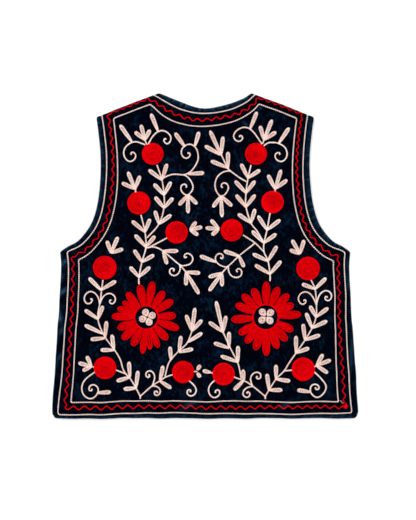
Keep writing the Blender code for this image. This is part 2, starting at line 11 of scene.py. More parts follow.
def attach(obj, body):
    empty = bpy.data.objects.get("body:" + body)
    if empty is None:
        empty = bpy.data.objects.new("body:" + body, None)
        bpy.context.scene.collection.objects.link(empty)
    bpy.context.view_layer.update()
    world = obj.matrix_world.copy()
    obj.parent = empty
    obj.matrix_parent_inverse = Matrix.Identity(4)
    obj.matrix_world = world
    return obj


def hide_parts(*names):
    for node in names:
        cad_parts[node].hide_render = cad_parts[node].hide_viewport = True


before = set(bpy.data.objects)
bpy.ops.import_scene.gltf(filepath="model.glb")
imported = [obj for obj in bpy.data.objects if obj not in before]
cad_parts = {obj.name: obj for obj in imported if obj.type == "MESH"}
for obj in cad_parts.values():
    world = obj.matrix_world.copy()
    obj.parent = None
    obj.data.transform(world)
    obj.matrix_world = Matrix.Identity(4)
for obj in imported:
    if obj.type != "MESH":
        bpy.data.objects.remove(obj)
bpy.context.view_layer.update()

MM = 0.001

# Cloth, in millimetres as everything here until a mesh is made
WALL = 2.0
SEAM_GAP = 0.3
UPPER_LEVEL = WALL + SEAM_GAP + WALL
ROLL_WIDTH = 8.0
ROLL_DROP = WALL + SEAM_GAP
EDGE_ROUND = 1.2
EDGE_DROP = 0.7
BINDING_PROUD = 0.4
DRIFT = {"neck": 0.5, "shoulder": 0.6, "armhole": 0.4, "side": 1.2, "hem": 1.3}
DRIFT_SIZE = 30.0
CURVE_STEP = 4.0
BACK_GRID = 2.9
FRONT_GRID = 7.0
CRUMPLE = 0.42
CRUMPLE_SIZE = 17.0
PRESS_DEPTH = 0.4
PRESS_REACH = 2.4
BINDING_OVERLAP = 0.7
BINDING_END = 3.0
BINDING_STEP = 1.5
BINDING_SIDES = 14
GATHER_FINENESS = 4.0
# Strength of the painted highlight along each binding's outer roll
BINDING_RIM = {"neck": 0.8, "armhole": 0.22, "hem": 0.24}

# Chain stitch
YARN_LIFT = 0.45
FILL_LIFT = 0.8
LINK_PITCH = 3.1
LOBE_TURN = 15.0
LOBE_REACH = 0.33
LOBE_STRETCH = 0.12
LOBE_HALF = 0.24
LOBE_HIGH = 0.36
LOBE_SUNK = 0.25
LOBE_TOP = 0.75
LINK_UNEVEN = 0.07
LINK_TONES = 0.45
ROW_TONES = 0.5
SLOPE_REACH = 0.6
LINE_WIDTH = 2.1
LINE_PITCH = 3.4
LINE_REACH = 0.92
LINE_TONE = -0.1
WAVE_WIDTH = 1.8
WAVE_PITCH = 2.2
WAVE_TONE = -1.0
WAVE_STEP = 1.2
WAVE_SLIP = 0.35
WAVE_SLIP_SIZE = 9.0
KNOT_ROW = 2.0
KNOT_ROW_WIDTH = 2.2
STEM_WIDTH = 2.55
FILL_ROW = 2.45
FILL_WIDTH = 2.55
FILL_REACH = 1.2
LEAF_ROW = 2.2
LEAF_ROW_WIDTH = 2.5
LEAF_WIDTH = 6.9
LEAF_TIP = 1.4
PETAL_WIDTH = 13.2
NEST_PITCH = 2.5
PETAL_ROW_WIDTH = 2.75
PETAL_TONE = 0.5
RING_WIDTH = 3.1
DOT_START = 1.8
DOT_WIDTH = 11.8
DOT_ROW = 2.0
DOT_TONE = 0.3
MIDDLE_WIDTH = 2.0
MIDDLE_TONE = 0.45
TURN_TONE = 0.3
CROWD_REACH = 1.5
CROWD_TONE = 0.1

# Painted light and shade on the pile: highlights on crease ridges and along the edges, shade beside the stitches and
# near the inner line, and the size of its crushed patches
CREASE_HIGHLIGHT = 0.9
EDGE_HIGHLIGHT = 0.16
EDGE_HIGHLIGHT_REACH = 1.6
STITCH_SHADE_REACH = (1.0, 5.0)
BORDER_SHADE_REACH = 18.0
NAP_PATCH_SIZE = 60.0

# Camera and light. The floor and the lamps are in metres: name, energy, size, place
FRAME_HEIGHT = 832.0
FRAME_CENTRE = (4.5, -6.9)
LENS = 85.0
SENSOR = 36.0
FLOOR_REACH = 3.0
FLOOR_LEVEL = -0.0004
LAMPS = (("key", 24, 1.6, (-1.1, 1.0, 1.5)), ("fill", 12.5, 2.0, (1.3, -0.7, 1.7)))

# The neck edge, from -X to +X, and half of the rest of the outline on the +X side: x, y
NECK = ((-74, 260.5), (-62, 255.7), (-43, 247.4), (-24, 240.3), (-10, 236.7))
NECK += ((0, 235.6), (10, 236.5), (24, 239.4), (43, 244.3), (62, 252), (74, 260.5))
SHOULDER = ((74, 260.5), (122, 242.8), (174.4, 221.9))
ARMHOLE = (
    (174.4, 221.9),
    (171, 198),
    (167.3, 160),
    (168, 120),
    (172.6, 83),
    (182.5, 51),
    (202, 25),
    (220, 14.5),
    (232.5, 6),
)
SIDE = ((232.5, 6), (230.7, -19.7), (233.4, -71), (238.4, -148), (242.7, -212), (245, -250), (240.5, -260.5))
HEM = ((240.5, -260.5), (0, -260.5))

# Half of a front panel's neckline, from the centre front up to the shoulder: x, y
FRONT_NECK = ((1.5, 92), (22, 112), (46, 150), (66, 200), (80, 262))
FRONT_MEETING = 1.5
FRONT_INSET = {"shoulder_right": 13.0, "armhole_right": 10.0, "side_right": 14.0, "hem": 1.0}

# Distance of each stitched line from the garment's edge. Where it changes along an edge it is listed at even
# steps, clockwise, and 0 is a line that stops at that edge
OUTER_LINE = {
    "neck": (7.0, 9.6, 11.1, 9.6, 8.0, 8.9, 9.4, 8.0, 6.0),
    "shoulder_right": (0.0,),
    "armhole_right": (11.0, 10.4, 11.4, 11.6, 4.8),
    "side_right": (8.8, 8.0, 10.9, 11.8, 10.6),
    "hem": (9.3, 7.7, 6.9, 7.9, 8.2, 9.0, 7.7, 6.7, 6.2),
    "side_left": (9.0, 11.7, 12.2, 13.0, 11.5),
    "armhole_left": (6.6, 9.2, 9.4, 9.8, 9.4),
    "shoulder_left": (0.0,),
}
INNER_LINE = {
    "neck": (24.4, 30.8, 33.2, 31.2, 28.6, 28.9, 29.0, 26.2, 21.0),
    "shoulder_right": (12.4,),
    "armhole_right": (27.2, 27.0, 28.6, 29.0, 26.0),
    "side_right": (26.2, 25.4, 28.6, 31.4, 30.0),
    "hem": (27.0, 27.0, 26.1, 28.2, 27.2, 27.8, 27.5, 26.2, 26.6),
    "side_left": (29.5, 30.4, 30.0, 30.4, 28.0),
    "armhole_left": (26.0, 27.4, 28.0, 26.8, 26.9),
    "shoulder_left": (12.4,),
}
WAVE_LINE = {
    "neck": (16.5, 19.8, 21.6, 20.6, 18.2, 18.0, 19.4, 18.0, 14.5),
    "shoulder_right": (3.0,),
    "armhole_right": (19.6, 20.4, 20.6, 21.0, 16.5),
    "side_right": (18.0, 18.6, 21.2, 21.3, 20.0),
    "hem": (18.5, 18.5, 18.0, 17.6, 17.9, 18.5, 18.2, 17.4, 17.6),
    "side_left": (20.5, 21.6, 21.6, 20.8, 19.0),
    "armhole_left": (17.0, 19.8, 20.0, 20.0, 19.4),
    "shoulder_left": (3.0,),
}
LINE_TO_SEAM = 2.1

# Low swells of the laid cloth: x, y, radius along X, radius along Y, height
SWELLS = (
    (-75, 150, 60, 45, 0.7),
    (60, 105, 75, 50, 0.8),
    (-30, 20, 90, 50, 0.6),
    (130, -40, 60, 70, 0.7),
    (-150, -90, 55, 60, 0.8),
    (10, -130, 80, 55, 0.7),
    (150, -190, 60, 45, 0.6),
    (-90, -205, 85, 40, 0.6),
)

# The embroidery chart has squares of 1.6 mm, counted across and down. This square is the garment's centre.
SQUARE = 1.6
CENTRE_COLUMN = 205.2
CENTRE_ROW = 255.7

# Filled discs: name, column, row, radius in squares
DISCS = (
    ("disc_left_1", 152.8, 154.0, 10.9),
    ("disc_left_2", 138.8, 203.1, 11.6),
    ("disc_left_3", 176.7, 232.3, 11.2),
    ("disc_left_4", 104.8, 267.6, 11.9),
    ("disc_left_5", 105.1, 367.9, 11.4),
    ("disc_left_6", 183.2, 371.9, 11.2),
    ("disc_right_1", 255.9, 154.0, 11.0),
    ("disc_right_2", 272.6, 202.0, 11.3),
    ("disc_right_3", 231.8, 230.3, 11.2),
    ("disc_right_4", 308.0, 268.6, 11.8),
    ("disc_right_5", 303.1, 369.1, 11.8),
    ("disc_right_6", 223.5, 374.0, 11.3),
)

# Flowers: side, column, row, ring radius, then column, row, turn and reach of the pale dots,
# then the petals as compass bearing and reach
FLOWERS = (
    (
        ("left", 146.4, 317.5, 12.0, 147.4, 317.2, -20, 9.0),
        ((348, 34), (10, 37), (34, 32), (57, 32), (86, 30), (109, 35), (136, 31), (158, 33), (173, 33))
        + ((186, 37), (206, 32), (228, 33), (249, 31), (272, 35), (288, 31), (304, 29), (322, 32)),
    ),
    (
        ("right", 265.7, 317.2, 12.9, 266.2, 316.3, 49, 9.8),
        ((1, 36), (23, 33), (45, 33), (65, 31), (85, 36), (116, 31), (138, 32), (159, 34), (179, 39))
        + ((198, 35), (218, 33), (238, 32), (266, 35), (293, 33), (314, 33), (336, 32)),
    ),
)

# Stems and tendrils: a smooth line through each row of squares
STEMS = (
    ((145.4, 144.8), (140.9, 143.2), (136.8, 141.8), (132, 142.4), (127.9, 144.8), (125, 148), (123.7, 152.5))
    + ((124.6, 157), (127.5, 160.7), (131.1, 161.5), (134.4, 159.4), (135.9, 155.8), (134.4, 152.9), (132, 152.1))
    + ((130.6, 153.7), (131.6, 155)),
    ((148.2, 144.5), (151.5, 138.3), (155.5, 133.4), (158.8, 131.4), (162.8, 130.6), (166.9, 132.2), (170.2, 135.4))
    + ((171, 139.1), (169.3, 142.8), (166.9, 144), (164.5, 142.4), (163.8, 139.9), (165.3, 138.3), (166.4, 139.6)),
    ((144.8, 140), (147, 144.8)),
    ((135.6, 189), (135.6, 193)),
    ((157, 165), (162, 180), (164, 195), (164, 208), (159, 224), (147, 238)),
    ((162, 178.6), (166.9, 176.2), (171.7, 174.6), (176.5, 174.3), (184, 174.8), (189.6, 172.4), (193, 169))
    + ((196.1, 164.5), (198.1, 159.4), (198.1, 154.6), (197.1, 150.4), (195.1, 147), (192.3, 144.9), (189.6, 144.2))
    + ((186.5, 144.9), (183.4, 147), (181.6, 150.1), (181.3, 153.2), (182.3, 155.9), (184.4, 158), (186.8, 158.3))
    + ((189.2, 157), (190.2, 154.9), (189.6, 152.8), (188.2, 152.5), (187.8, 154)),
    ((184, 174.8), (187.5, 176.9), (190.2, 180), (192.3, 183.8), (193.1, 187.5), (192, 191), (189.6, 193.7))
    + ((187.5, 195.4), (184.1, 194.1), (181.6, 191.3), (180.8, 188.2), (181.3, 185.8), (183.4, 184.1), (186, 184.8))
    + ((186.9, 186.7), (185.8, 187.7)),
    ((141, 215), (145, 232), (146, 247), (142, 262), (139, 277), (139, 284.4)),
    ((167, 238), (148, 248)),
    ((146, 248), (154, 247), (163, 251), (179.3, 264.5), (184.7, 265.5), (190.2, 263.9), (192.9, 259.6))
    + ((191.8, 255.8), (188, 253.3), (184.6, 254.7), (184.4, 257.5), (186.6, 257.7), (186.4, 256.3)),
    ((179.8, 265), (180.2, 269.3), (178.2, 273.7), (174.4, 275.7), (170.6, 274.2), (169.5, 271), (171.2, 268.3))
    + ((173.9, 268.7), (174.5, 270.8), (173, 271)),
    ((180, 265), (186, 272)),
    ((103, 280), (101.5, 291.2), (100.4, 301.5), (98.4, 311.1), (98, 319.4), (100.4, 327.6), (105.2, 337.2))
    + ((110.7, 344.8), (116, 352), (120.5, 360), (123, 369), (126, 374), (130, 378), (136, 388), (140.2, 396.2)),
    ((99.6, 303.5), (98.7, 298.7), (97, 295.3), (94.2, 292.6), (91.2, 291.5), (88.1, 292.2), (85.3, 295))
    + ((84.3, 298.4), (85, 301.5), (87, 303.6), (89.4, 303.6), (91.5, 302.2), (92.5, 300.1), (91.8, 298.4))
    + ((90.7, 298.7), (90.6, 299.9)),
    ((100.2, 303), (102.1, 298.4), (104.2, 295.7), (107, 293.9), (109.7, 293.4), (112.5, 294.3), (114.9, 296.7))
    + ((115.5, 299.4), (114.5, 302.2), (112.5, 303.9), (110.3, 303.2), (109.5, 301.2), (110.3, 299.6), (111.6, 300)),
    ((116, 370), (125, 373.5)),
    ((91, 366.5), (95.5, 367.2)),
    ((95, 372), (90.1, 375.4), (85.8, 379), (82.9, 383.3), (81.8, 388.4), (82.9, 393.5), (86.1, 397.1))
    + ((90.1, 398.7), (94.1, 397.5), (97, 394.2), (98.4, 390.6), (97.4, 387), (94.5, 384.8), (91.2, 385.1))
    + ((89, 387.7), (89.4, 390.4), (91.4, 391), (92.5, 389.6), (91.6, 388.6)),
    ((140.2, 396.2), (152, 385.9), (160, 380.8), (165.6, 377), (173, 374.6)),
    ((141, 395.4), (139.6, 396.6), (140.9, 397.6), (139.8, 398.6)),
    ((165.1, 376.5), (166.6, 370), (169.8, 361.1), (178.7, 351.2), (186.3, 344.2), (189.5, 338), (192, 331)),
    ((152.2, 386), (153.9, 381.2), (154.8, 377), (153.4, 372.8), (150.2, 370.7), (146.9, 371.9), (145.7, 374.7))
    + ((147.3, 377.3), (149.5, 376.9), (149.8, 374.9), (148.3, 374.4)),
    ((152.5, 385.9), (156.7, 386.4), (159.5, 388.7), (160.5, 391.5), (159.1, 394.4), (156.2, 395.5), (154.4, 393.9))
    + ((154.6, 391.5), (156.7, 390.8), (158, 392), (157, 393)),
    ((188.8, 380.4), (193.3, 384.5), (196.1, 388.7), (195.6, 393), (192.3, 395.8), (188.6, 395.3), (187, 392.5))
    + ((188.1, 389.7), (190.7, 389.8), (191.2, 391.4), (189.7, 392)),
    ((193.5, 371.5), (197.4, 371.5)),
    ((262, 144.2), (257.7, 137.8), (254.1, 132.8), (249.9, 128.9), (246.3, 127.5), (242.7, 127.5), (238.5, 129.3))
    + ((234.9, 132.5), (233.5, 136), (234.9, 139.6), (237.8, 141.4), (240.6, 141), (242.5, 138.9), (242.4, 136.6))
    + ((240.6, 135.3), (239.1, 136.2), (239.9, 137.3)),
    ((263.8, 145.8), (268, 142.9), (272.1, 142.5), (277, 142.9), (281.8, 145), (285.5, 148.2), (287.1, 153.1))
    + ((286.3, 157.6), (283.5, 160.8), (280.2, 161.6), (276.5, 159.6), (274.9, 156.3), (276.1, 153.3), (279, 152.5))
    + ((280.4, 153.9), (279.4, 154.9)),
    ((264.6, 139), (262.4, 144)),
    ((275.2, 188.8), (275, 192)),
    ((251, 165), (248, 178), (246, 193), (246, 207), (251, 223), (257, 231), (263, 241)),
    ((246.3, 181.6), (240.6, 178.4), (235.6, 174.9), (230.3, 170.9), (227.8, 168.4), (225.7, 164.2), (221.4, 155)),
    ((230.3, 170.9), (225.7, 171.3), (221.4, 173.1), (217.8, 176.3), (215.7, 180.6), (215, 185.5), (216, 190.5))
    + ((218.2, 194.1), (220.3, 196.2), (224.2, 195.2), (227.1, 191.6), (228.5, 187.7), (227.4, 184.5), (224.9, 182.8))
    + ((222.3, 183.5), (221.1, 185.8), (221.6, 187.6), (223, 187.4)),
    ((270, 213), (267, 230), (264, 243), (264, 252), (268, 261), (270, 274), (270, 281.3)),
    ((243, 235), (255, 243), (264, 252)),
    ((255, 243), (250, 247.1), (239.1, 255.8), (228.2, 266.1), (223.9, 266.6), (219, 264.5), (215.7, 260.7))
    + ((215.7, 256.3), (219, 253.5), (222.6, 254.8), (223, 258.2), (220.9, 258.8), (220.7, 257)),
    ((228.2, 266.1), (228.8, 271.5), (231.5, 275.9), (236.4, 277.5), (240.7, 275.9), (241.8, 271.5), (239.6, 268.7))
    + ((236.7, 269.4), (236.5, 271.8), (238, 271.8)),
    ((228.2, 266.1), (221, 274)),
    ((311, 280), (315, 289), (316.3, 302), (316, 317), (312, 328), (305, 340), (296, 353), (289, 363), (284, 371))
    + ((276, 379), (269, 390), (265.1, 396.4)),
    ((316.2, 304.5), (313.8, 298.9), (311.1, 294.8), (307.8, 292.3), (304.4, 291.9), (300.6, 293.6), (298.4, 297.4))
    + ((298.8, 301.1), (301.4, 304.1), (304.4, 303.8), (306.1, 301.5), (305.4, 299.5), (303.8, 299.8), (303.7, 301.3)),
    ((316.6, 304.5), (317.9, 298.5), (319.8, 294.4), (323.1, 291.4), (326.5, 290.6), (329.9, 292.1), (331.6, 295.5))
    + ((330.6, 299.3), (327.6, 300.8), (325.2, 299.3), (325, 296.8), (326.8, 296.2), (327.4, 297.8)),
    ((284, 371), (292.5, 370)),
    ((313.6, 367.2), (316.4, 365.6)),
    ((313.6, 371.4), (318.3, 375.6), (322.2, 379.8), (325.3, 384.1), (326.1, 388), (324.1, 392.6), (320.6, 396.1))
    + ((317.1, 397.4), (313.3, 395.7), (310.6, 392.2), (310.2, 388.8), (311.7, 385.3), (315.2, 384.1), (318.5, 385.7))
    + ((319, 388.6), (316.8, 389.7), (315, 388.4), (315.8, 387)),
    ((265.1, 396.2), (252.5, 385.9), (245, 381.2), (233.8, 377)),
    ((265.9, 395.6), (264.5, 396.8), (265.8, 397.8), (264.7, 398.8)),
    ((241.3, 379), (240.3, 372.8), (237.5, 362), (230.5, 348.4), (223, 332)),
    ((252.5, 385.9), (251.1, 382.2), (250.6, 378), (252.5, 374.2), (256.2, 372.1), (260, 373.3), (260.9, 376.6))
    + ((259, 379), (256.5, 378.2), (256.4, 376.2), (257.9, 376.6)),
    ((252.5, 386.4), (247.8, 387.3), (244.1, 390.1), (242.8, 393.9), (245, 397), (248.3, 397), (250.1, 394.4))
    + ((248.8, 391.8), (246.6, 392.2), (247.3, 393.8)),
    ((215.2, 380), (210.8, 384), (208.6, 388.7), (209.4, 393.9), (213.1, 397.4), (217.3, 396.7), (219.9, 393.4))
    + ((219.2, 390.3), (216.5, 390), (214.8, 391.6), (216, 393)),
    ((209.5, 372.2), (213.3, 373.2)),
)

# Sprays of leaves: the square of their foot, then the square of each leaf's tip
SPRAYS = (
    ((145, 140), (135, 132), (141, 125), (150, 130)),
    ((132, 142), (120, 125)),
    ((158, 131), (151, 114)),
    ((162, 180), (149, 170), (167, 164)),
    ((164, 195), (154, 184), (171, 182)),
    ((164, 208), (155, 197), (173, 198)),
    ((159, 224), (155, 211), (171, 215)),
    ((188, 174), (204, 173)),
    ((185, 147), (175, 133)),
    ((195, 146), (199, 132)),
    ((188, 195), (179, 205), (188, 213), (197, 204)),
    ((135, 189), (122, 183), (128, 172), (140, 176)),
    ((145, 232), (132, 221), (150, 219)),
    ((146, 247), (135, 235), (155, 236)),
    ((142, 262), (134, 250), (154, 255)),
    ((139, 277), (130, 267), (150, 267)),
    ((190, 230), (196, 222), (202, 227), (198, 235)),
    ((163, 251), (178, 251), (167, 264)),
    ((186, 272), (200, 273), (186, 285), (199, 294)),
    ((111, 253), (107, 241), (118, 237), (123, 249)),
    ((101, 290), (89, 278), (116, 281)),
    ((98, 319), (85, 310), (103, 306)),
    ((102.5, 333.5), (85, 325.2)),
    ((105, 338), (106.6, 321.3), (90.8, 339.5)),
    ((114, 350), (101, 350), (112, 335)),
    ((130, 377), (129, 362), (117, 381)),
    ((136, 388), (138, 371), (124, 389)),
    ((91.6, 366.5), (86.9, 356.3), (78.7, 363), (82.9, 370.6)),
    ((97.4, 392.8), (110.6, 392)),
    ((160, 381), (163, 366), (171, 388)),
    ((171, 360), (170, 347)),
    ((179, 352), (181, 336), (193, 349)),
    ((188, 342), (202, 333)),
    ((192, 331), (186, 315), (195, 308), (202, 320)),
    ((197.2, 370), (200.2, 365.3)),
    ((197.2, 373), (200.2, 376.8)),
    ((264, 140), (260, 126), (272, 120), (276, 132)),
    ((250, 129), (257, 112)),
    ((279, 143), (289, 128)),
    ((248, 178), (241, 164), (260, 170)),
    ((246, 193), (235, 181), (255, 181)),
    ((246, 207), (236, 195), (255, 195)),
    ((251, 223), (238, 214), (255, 209)),
    ((228, 168), (211, 161), (228, 152)),
    ((221, 155), (205, 146), (210, 131), (223, 137)),
    ((221, 196), (213, 207), (222, 217), (232, 206)),
    ((275, 189), (268, 175), (281, 170), (287, 180)),
    ((267, 230), (258, 216), (280, 220)),
    ((264, 243), (252, 231), (276, 234)),
    ((268, 261), (253, 254), (277, 246)),
    ((270, 274), (255, 265), (281, 261)),
    ((219, 229), (211, 220), (206, 228), (212, 235)),
    ((239, 256), (224, 251), (244, 267)),
    ((216, 262), (200, 256)),
    ((222, 273), (209, 277), (222, 286), (209, 291)),
    ((300, 254), (290, 250), (292, 240), (304, 240)),
    ((315, 289), (302, 284), (326, 278)),
    ((316, 317), (310, 306), (328, 308)),
    ((312, 328), (306, 313), (327, 321)),
    ((305, 340), (303, 324), (320, 335)),
    ((296, 353), (296, 336), (309, 348)),
    ((276, 379), (276, 365), (290, 381)),
    ((269, 390), (267, 374), (282, 390)),
    ((316.4, 365.5), (322.9, 354.3), (330.7, 360), (327.6, 372.9)),
    ((310, 391.9), (297.5, 390)),
    ((244, 380), (243, 370), (234, 390)),
    ((238, 362), (238, 346), (221, 356)),
    ((229, 348), (229, 332), (214, 343)),
    ((223, 332), (216, 301), (226, 316), (209, 322)),
    ((210.4, 372.4), (203.2, 370.7)),
)

# Half width along a leaf, a petal and a pale dot: share of the length, share of the full width
LEAF_PROFILE = ((0.0, 0.5), (0.2, 0.76), (0.45, 0.93), (0.82, 1.0), (0.93, 0.84), (0.985, 0.52))
PETAL_PROFILE = ((0.0, 0.54), (0.2, 0.78), (0.42, 0.96), (0.62, 1.0), (0.8, 0.93), (0.92, 0.7), (0.98, 0.42))
DOT_PROFILE = ((0.0, 0.18), (0.12, 0.3), (0.26, 0.72), (0.4, 0.93), (0.57, 1.0), (0.74, 0.93), (0.87, 0.72))
DOT_PROFILE += ((0.96, 0.42),)

# How each is filled: profile, space between rows, their width, tone and link reach, then the middle row's
# width and tone
LEAF_FILL = (LEAF_PROFILE, LEAF_ROW, LEAF_ROW_WIDTH, 0.0, 1.0, MIDDLE_WIDTH, MIDDLE_TONE)
PETAL_FILL = (PETAL_PROFILE, FILL_ROW, PETAL_ROW_WIDTH, PETAL_TONE, FILL_REACH, PETAL_ROW_WIDTH, PETAL_TONE)
DOT_FILL = (DOT_PROFILE, DOT_ROW, LEAF_ROW_WIDTH, DOT_TONE, 1.0, MIDDLE_WIDTH, MIDDLE_TONE + DOT_TONE)

# Waves of the red line along each edge, clockwise: length of a wave and its reach to each side where the edge
# starts, then the same where it ends
WAVES = {
    "neck": (14.6, 2.2, 14.6, 2.2),
    "shoulder_right": (12.5, 1.9, 12.5, 1.9),
    "armhole_right": (10.5, 1.5, 15.5, 2.0),
    "side_right": (15.4, 2.0, 15.0, 2.1),
    "hem": (14.4, 2.2, 18.2, 2.8),
    "side_left": (16.6, 2.2, 16.2, 2.0),
    "armhole_left": (16.0, 2.0, 14.0, 1.8),
    "shoulder_left": (11.5, 1.6, 11.5, 1.6),
}

# Creases pressed into the cloth: from x, y, to x, y, half width, height (a trough where it is negative)
CREASES = (
    (-233, 6, -224, 9, 1.6, 0.8),
    (-233, 1, -228, 4, 1.5, 0.7),
    (-233, -16, -219, -5, 2.0, 1.1),
    (-231, -24, -220, -15, 1.7, -0.6),
    (-233, -36, -226, -30, 1.8, 0.7),
    (-234, -63, -220, -51, 2.2, 1.1),
    (-232, -74, -221, -64, 1.6, -0.6),
    (-234, -84, -231, -112, 1.8, 0.7),
    (-237, -104, -228, -98, 2.0, 0.7),
    (-236, -128, -224, -112, 2.2, 0.6),
    (-238, -170, -229, -156, 2.0, 0.5),
    (229, -2, 224, -46, 1.1, 0.5),
    (226, 0, 221, -44, 1.0, -0.5),
    (231, -16, 229, -60, 1.1, 0.5),
    (236, -120, 233, -190, 2.0, 0.4),
    (-198, 28, -176, 46, 2.8, 0.6),
    (196, 30, 178, 52, 2.8, 0.6),
    (-96, 246, -70, 236, 2.4, -0.4),
    (92, 246, 66, 238, 2.4, -0.4),
    (-40, -244, -10, -232, 3.2, 0.4),
    (118, -246, 140, -230, 3.0, 0.4),
)

# Faint marks left on the pile: from x, y, to x, y, half width, strength
MARKS = (
    (-86.5, 237, -83, 229, 0.7, 0.9),
    (83, 233, 91, 238, 0.8, 0.9),
    (-204, -183, -202.5, -181.5, 1.0, 1.2),
    (60, 214, 69, 208, 1.4, 0.5),
)

# A red knot at the hem's corner and the pale stroke beside it: column, row
KNOT = (345.5, 406.5)
KNOT_RADIUS = 4.0
STROKE = ((339.8, 400.2), (341.6, 401.8), (343.4, 403.6))
STROKE_WIDTH = 1.3
STROKE_TONE = 1.0


def square(column, row):
    """The place in millimetres of a square of the embroidery chart."""
    return ((column - CENTRE_COLUMN) * SQUARE, (CENTRE_ROW - row) * SQUARE)


def mirrored(path):
    """The same path on the other half, run the other way."""
    return [(-x, y) for x, y in reversed(path)]


def length_of(path):
    return float(np.hypot(*np.diff(np.array(path, float), axis=0).T).sum())


def sampled(path, count):
    """The path again, in this many equal steps."""
    path = np.array(path, float)
    along = np.concatenate([[0], np.cumsum(np.hypot(*np.diff(path, axis=0).T))])
    at = np.linspace(0, along[-1], count + 1)
    return [(float(x), float(y)) for x, y in zip(*(np.interp(at, along, places) for places in path.T))]


def stepped(path, step):
    """The path again, in equal steps of about this length."""
    return sampled(path, max(1, round(length_of(path) / step)))


def curve(points, step):
    """A smooth line through the points, in steps of about this length."""
    p = np.array(points, float)
    p = np.vstack([2 * p[0] - p[1], p, 2 * p[-1] - p[-2]])
    fine = []
    for a, b, c, d in zip(p, p[1:], p[2:], p[3:]):
        for t in np.arange(0, 1, 0.1):
            straight = 2 * b + (c - a) * t
            fine.append(0.5 * (straight + (2 * a - 5 * b + 4 * c - d) * t**2 + (3 * b - a - 3 * c + d) * t**3))
    fine.append(p[-2])
    return stepped(fine, step)


def beside(path, distance):
    """The path moved to its right by this distance, mitred at its points."""
    p = np.array(path, float)
    steps = np.diff(p, axis=0)
    steps /= np.hypot(*steps.T)[:, None]
    right = np.stack([steps[:, 1], -steps[:, 0]], axis=1)
    before, after = np.vstack([right[:1], right]), np.vstack([right, right[-1:]])
    shift = (before + after) / (1 + (before * after).sum(1))[:, None]
    return [(float(x), float(y)) for x, y in p + np.reshape(distance, (-1, 1)) * shift]


def crossing(a, b, c, d):
    """Where segment ab meets segment cd, or None."""
    met = geometry.intersect_line_line_2d(Vector(a), Vector(b), Vector(c), Vector(d))
    return None if met is None else (met.x, met.y)


def lengthened(path, reach=60.0):
    """The path with both ends drawn out straight."""
    p = [Vector(q) for q in path]
    first = p[0] + (p[0] - p[1]).normalized() * reach
    last = p[-1] + (p[-1] - p[-2]).normalized() * reach
    return [tuple(first)] + list(path[1:-1]) + [tuple(last)]


def loop_of(paths):
    """One closed outline from paths that cross each other in turn, and the paths cut where they cross."""
    drawn = [lengthened(path) for path in paths]
    for i in range(len(drawn)):
        one, two = drawn[i], drawn[(i + 1) % len(drawn)]
        found = None
        for m in range(len(one) - 2, -1, -1):
            for n in range(len(two) - 1):
                met = crossing(one[m], one[m + 1], two[n], two[n + 1])
                if met and not found:
                    found = (m, n, met)
        m, n, met = found
        drawn[i] = one[: m + 1] + [met]
        drawn[(i + 1) % len(drawn)] = [met] + two[n + 1 :]
    return [point for path in drawn for point in path[:-1]], drawn


def outline_edges():
    """The garment's edges by name, clockwise from the neck."""
    neck, shoulder, armhole, side, hem = (curve(p, CURVE_STEP) for p in (NECK, SHOULDER, ARMHOLE, SIDE, HEM))
    edges = {
        "neck": neck,
        "shoulder_right": shoulder,
        "armhole_right": armhole,
        "side_right": side,
        "hem": hem + mirrored(hem)[1:],
        "side_left": mirrored(side),
        "armhole_left": mirrored(armhole),
        "shoulder_left": mirrored(shoulder),
    }
    return {name: uneven(path, DRIFT[kind_of(name)], seed) for seed, (name, path) in enumerate(edges.items())}


def kind_of(edge):
    return edge.split("_")[0]


def uneven(path, drift, seed):
    """The path with the slight unevenness of a sewn edge, none at its ends."""
    along = np.linspace(0, length_of(path), len(path))
    fade = eased(along / 25) * eased((along[-1] - along) / 25)
    shift = [noise.noise(Vector((s / DRIFT_SIZE, seed * 3.7, 0.3))) for s in along]
    return beside(path, drift * fade * np.array(shift))


def eased(t):
    t = np.clip(t, 0, 1)
    return t * t * (3 - 2 * t)


EDGES = outline_edges()
BOUND = ("neck", "armhole_right", "hem", "armhole_left")
ROLLED = [np.array(stepped(path, 18.0)) for name, path in EDGES.items() if name not in BOUND]


def spread(values, count):
    """Evenly stepped values drawn out smoothly to this many."""
    if len(values) == 1:
        return np.full(count, values[0])
    x, y = np.array(curve(list(enumerate(values)), 0.05)).T
    return np.interp(np.linspace(0, len(values) - 1, count), x, y)


def inset_loop(distances):
    """The outline moved inwards by the distances of each edge, and its edges by name."""
    paths = [beside(path, spread(distances[name], len(path))) for name, path in EDGES.items()]
    points, drawn = loop_of(paths)
    return points, dict(zip(EDGES, drawn))


def seam(gap):
    """Distances of the seam between panel and binding, which runs beside the outer line."""
    return {
        name: [d - LINE_TO_SEAM + gap if name in BOUND else 0.0 for d in row]
        for name, row in OUTER_LINE.items()
    }


def distances_to(path, xy):
    """The distance of each point to an open path."""
    best = np.full(len(xy), np.inf)
    for a, b in zip(path, path[1:]):
        along = b - a
        t = np.clip((xy - a) @ along / (along @ along), 0, 1)
        best = np.minimum(best, np.hypot(*(xy - a - t[:, None] * along).T))
    return best


def crumple(xy, size, seed):
    """Uneven soft waves of the cloth, from about -1 to 1."""
    return np.array([noise.noise(Vector((x / size, y / size, seed))) for x, y in xy])


def streaks(table, xy):
    """Soft streaks along short lines, added up: from x, y, to x, y, half width, strength."""
    total = np.zeros(len(xy))
    for x1, y1, x2, y2, half, strength in table:
        a, along = np.array((x1, y1), float), np.array((x2 - x1, y2 - y1), float)
        t = np.clip((xy - a) @ along / (along @ along), 0, 1)
        away = np.hypot(*(xy - a - t[:, None] * along).T)
        total += strength * np.exp(-((away / half) ** 2)) * np.sin(np.pi * np.clip(t, 0.08, 0.92))
    return total


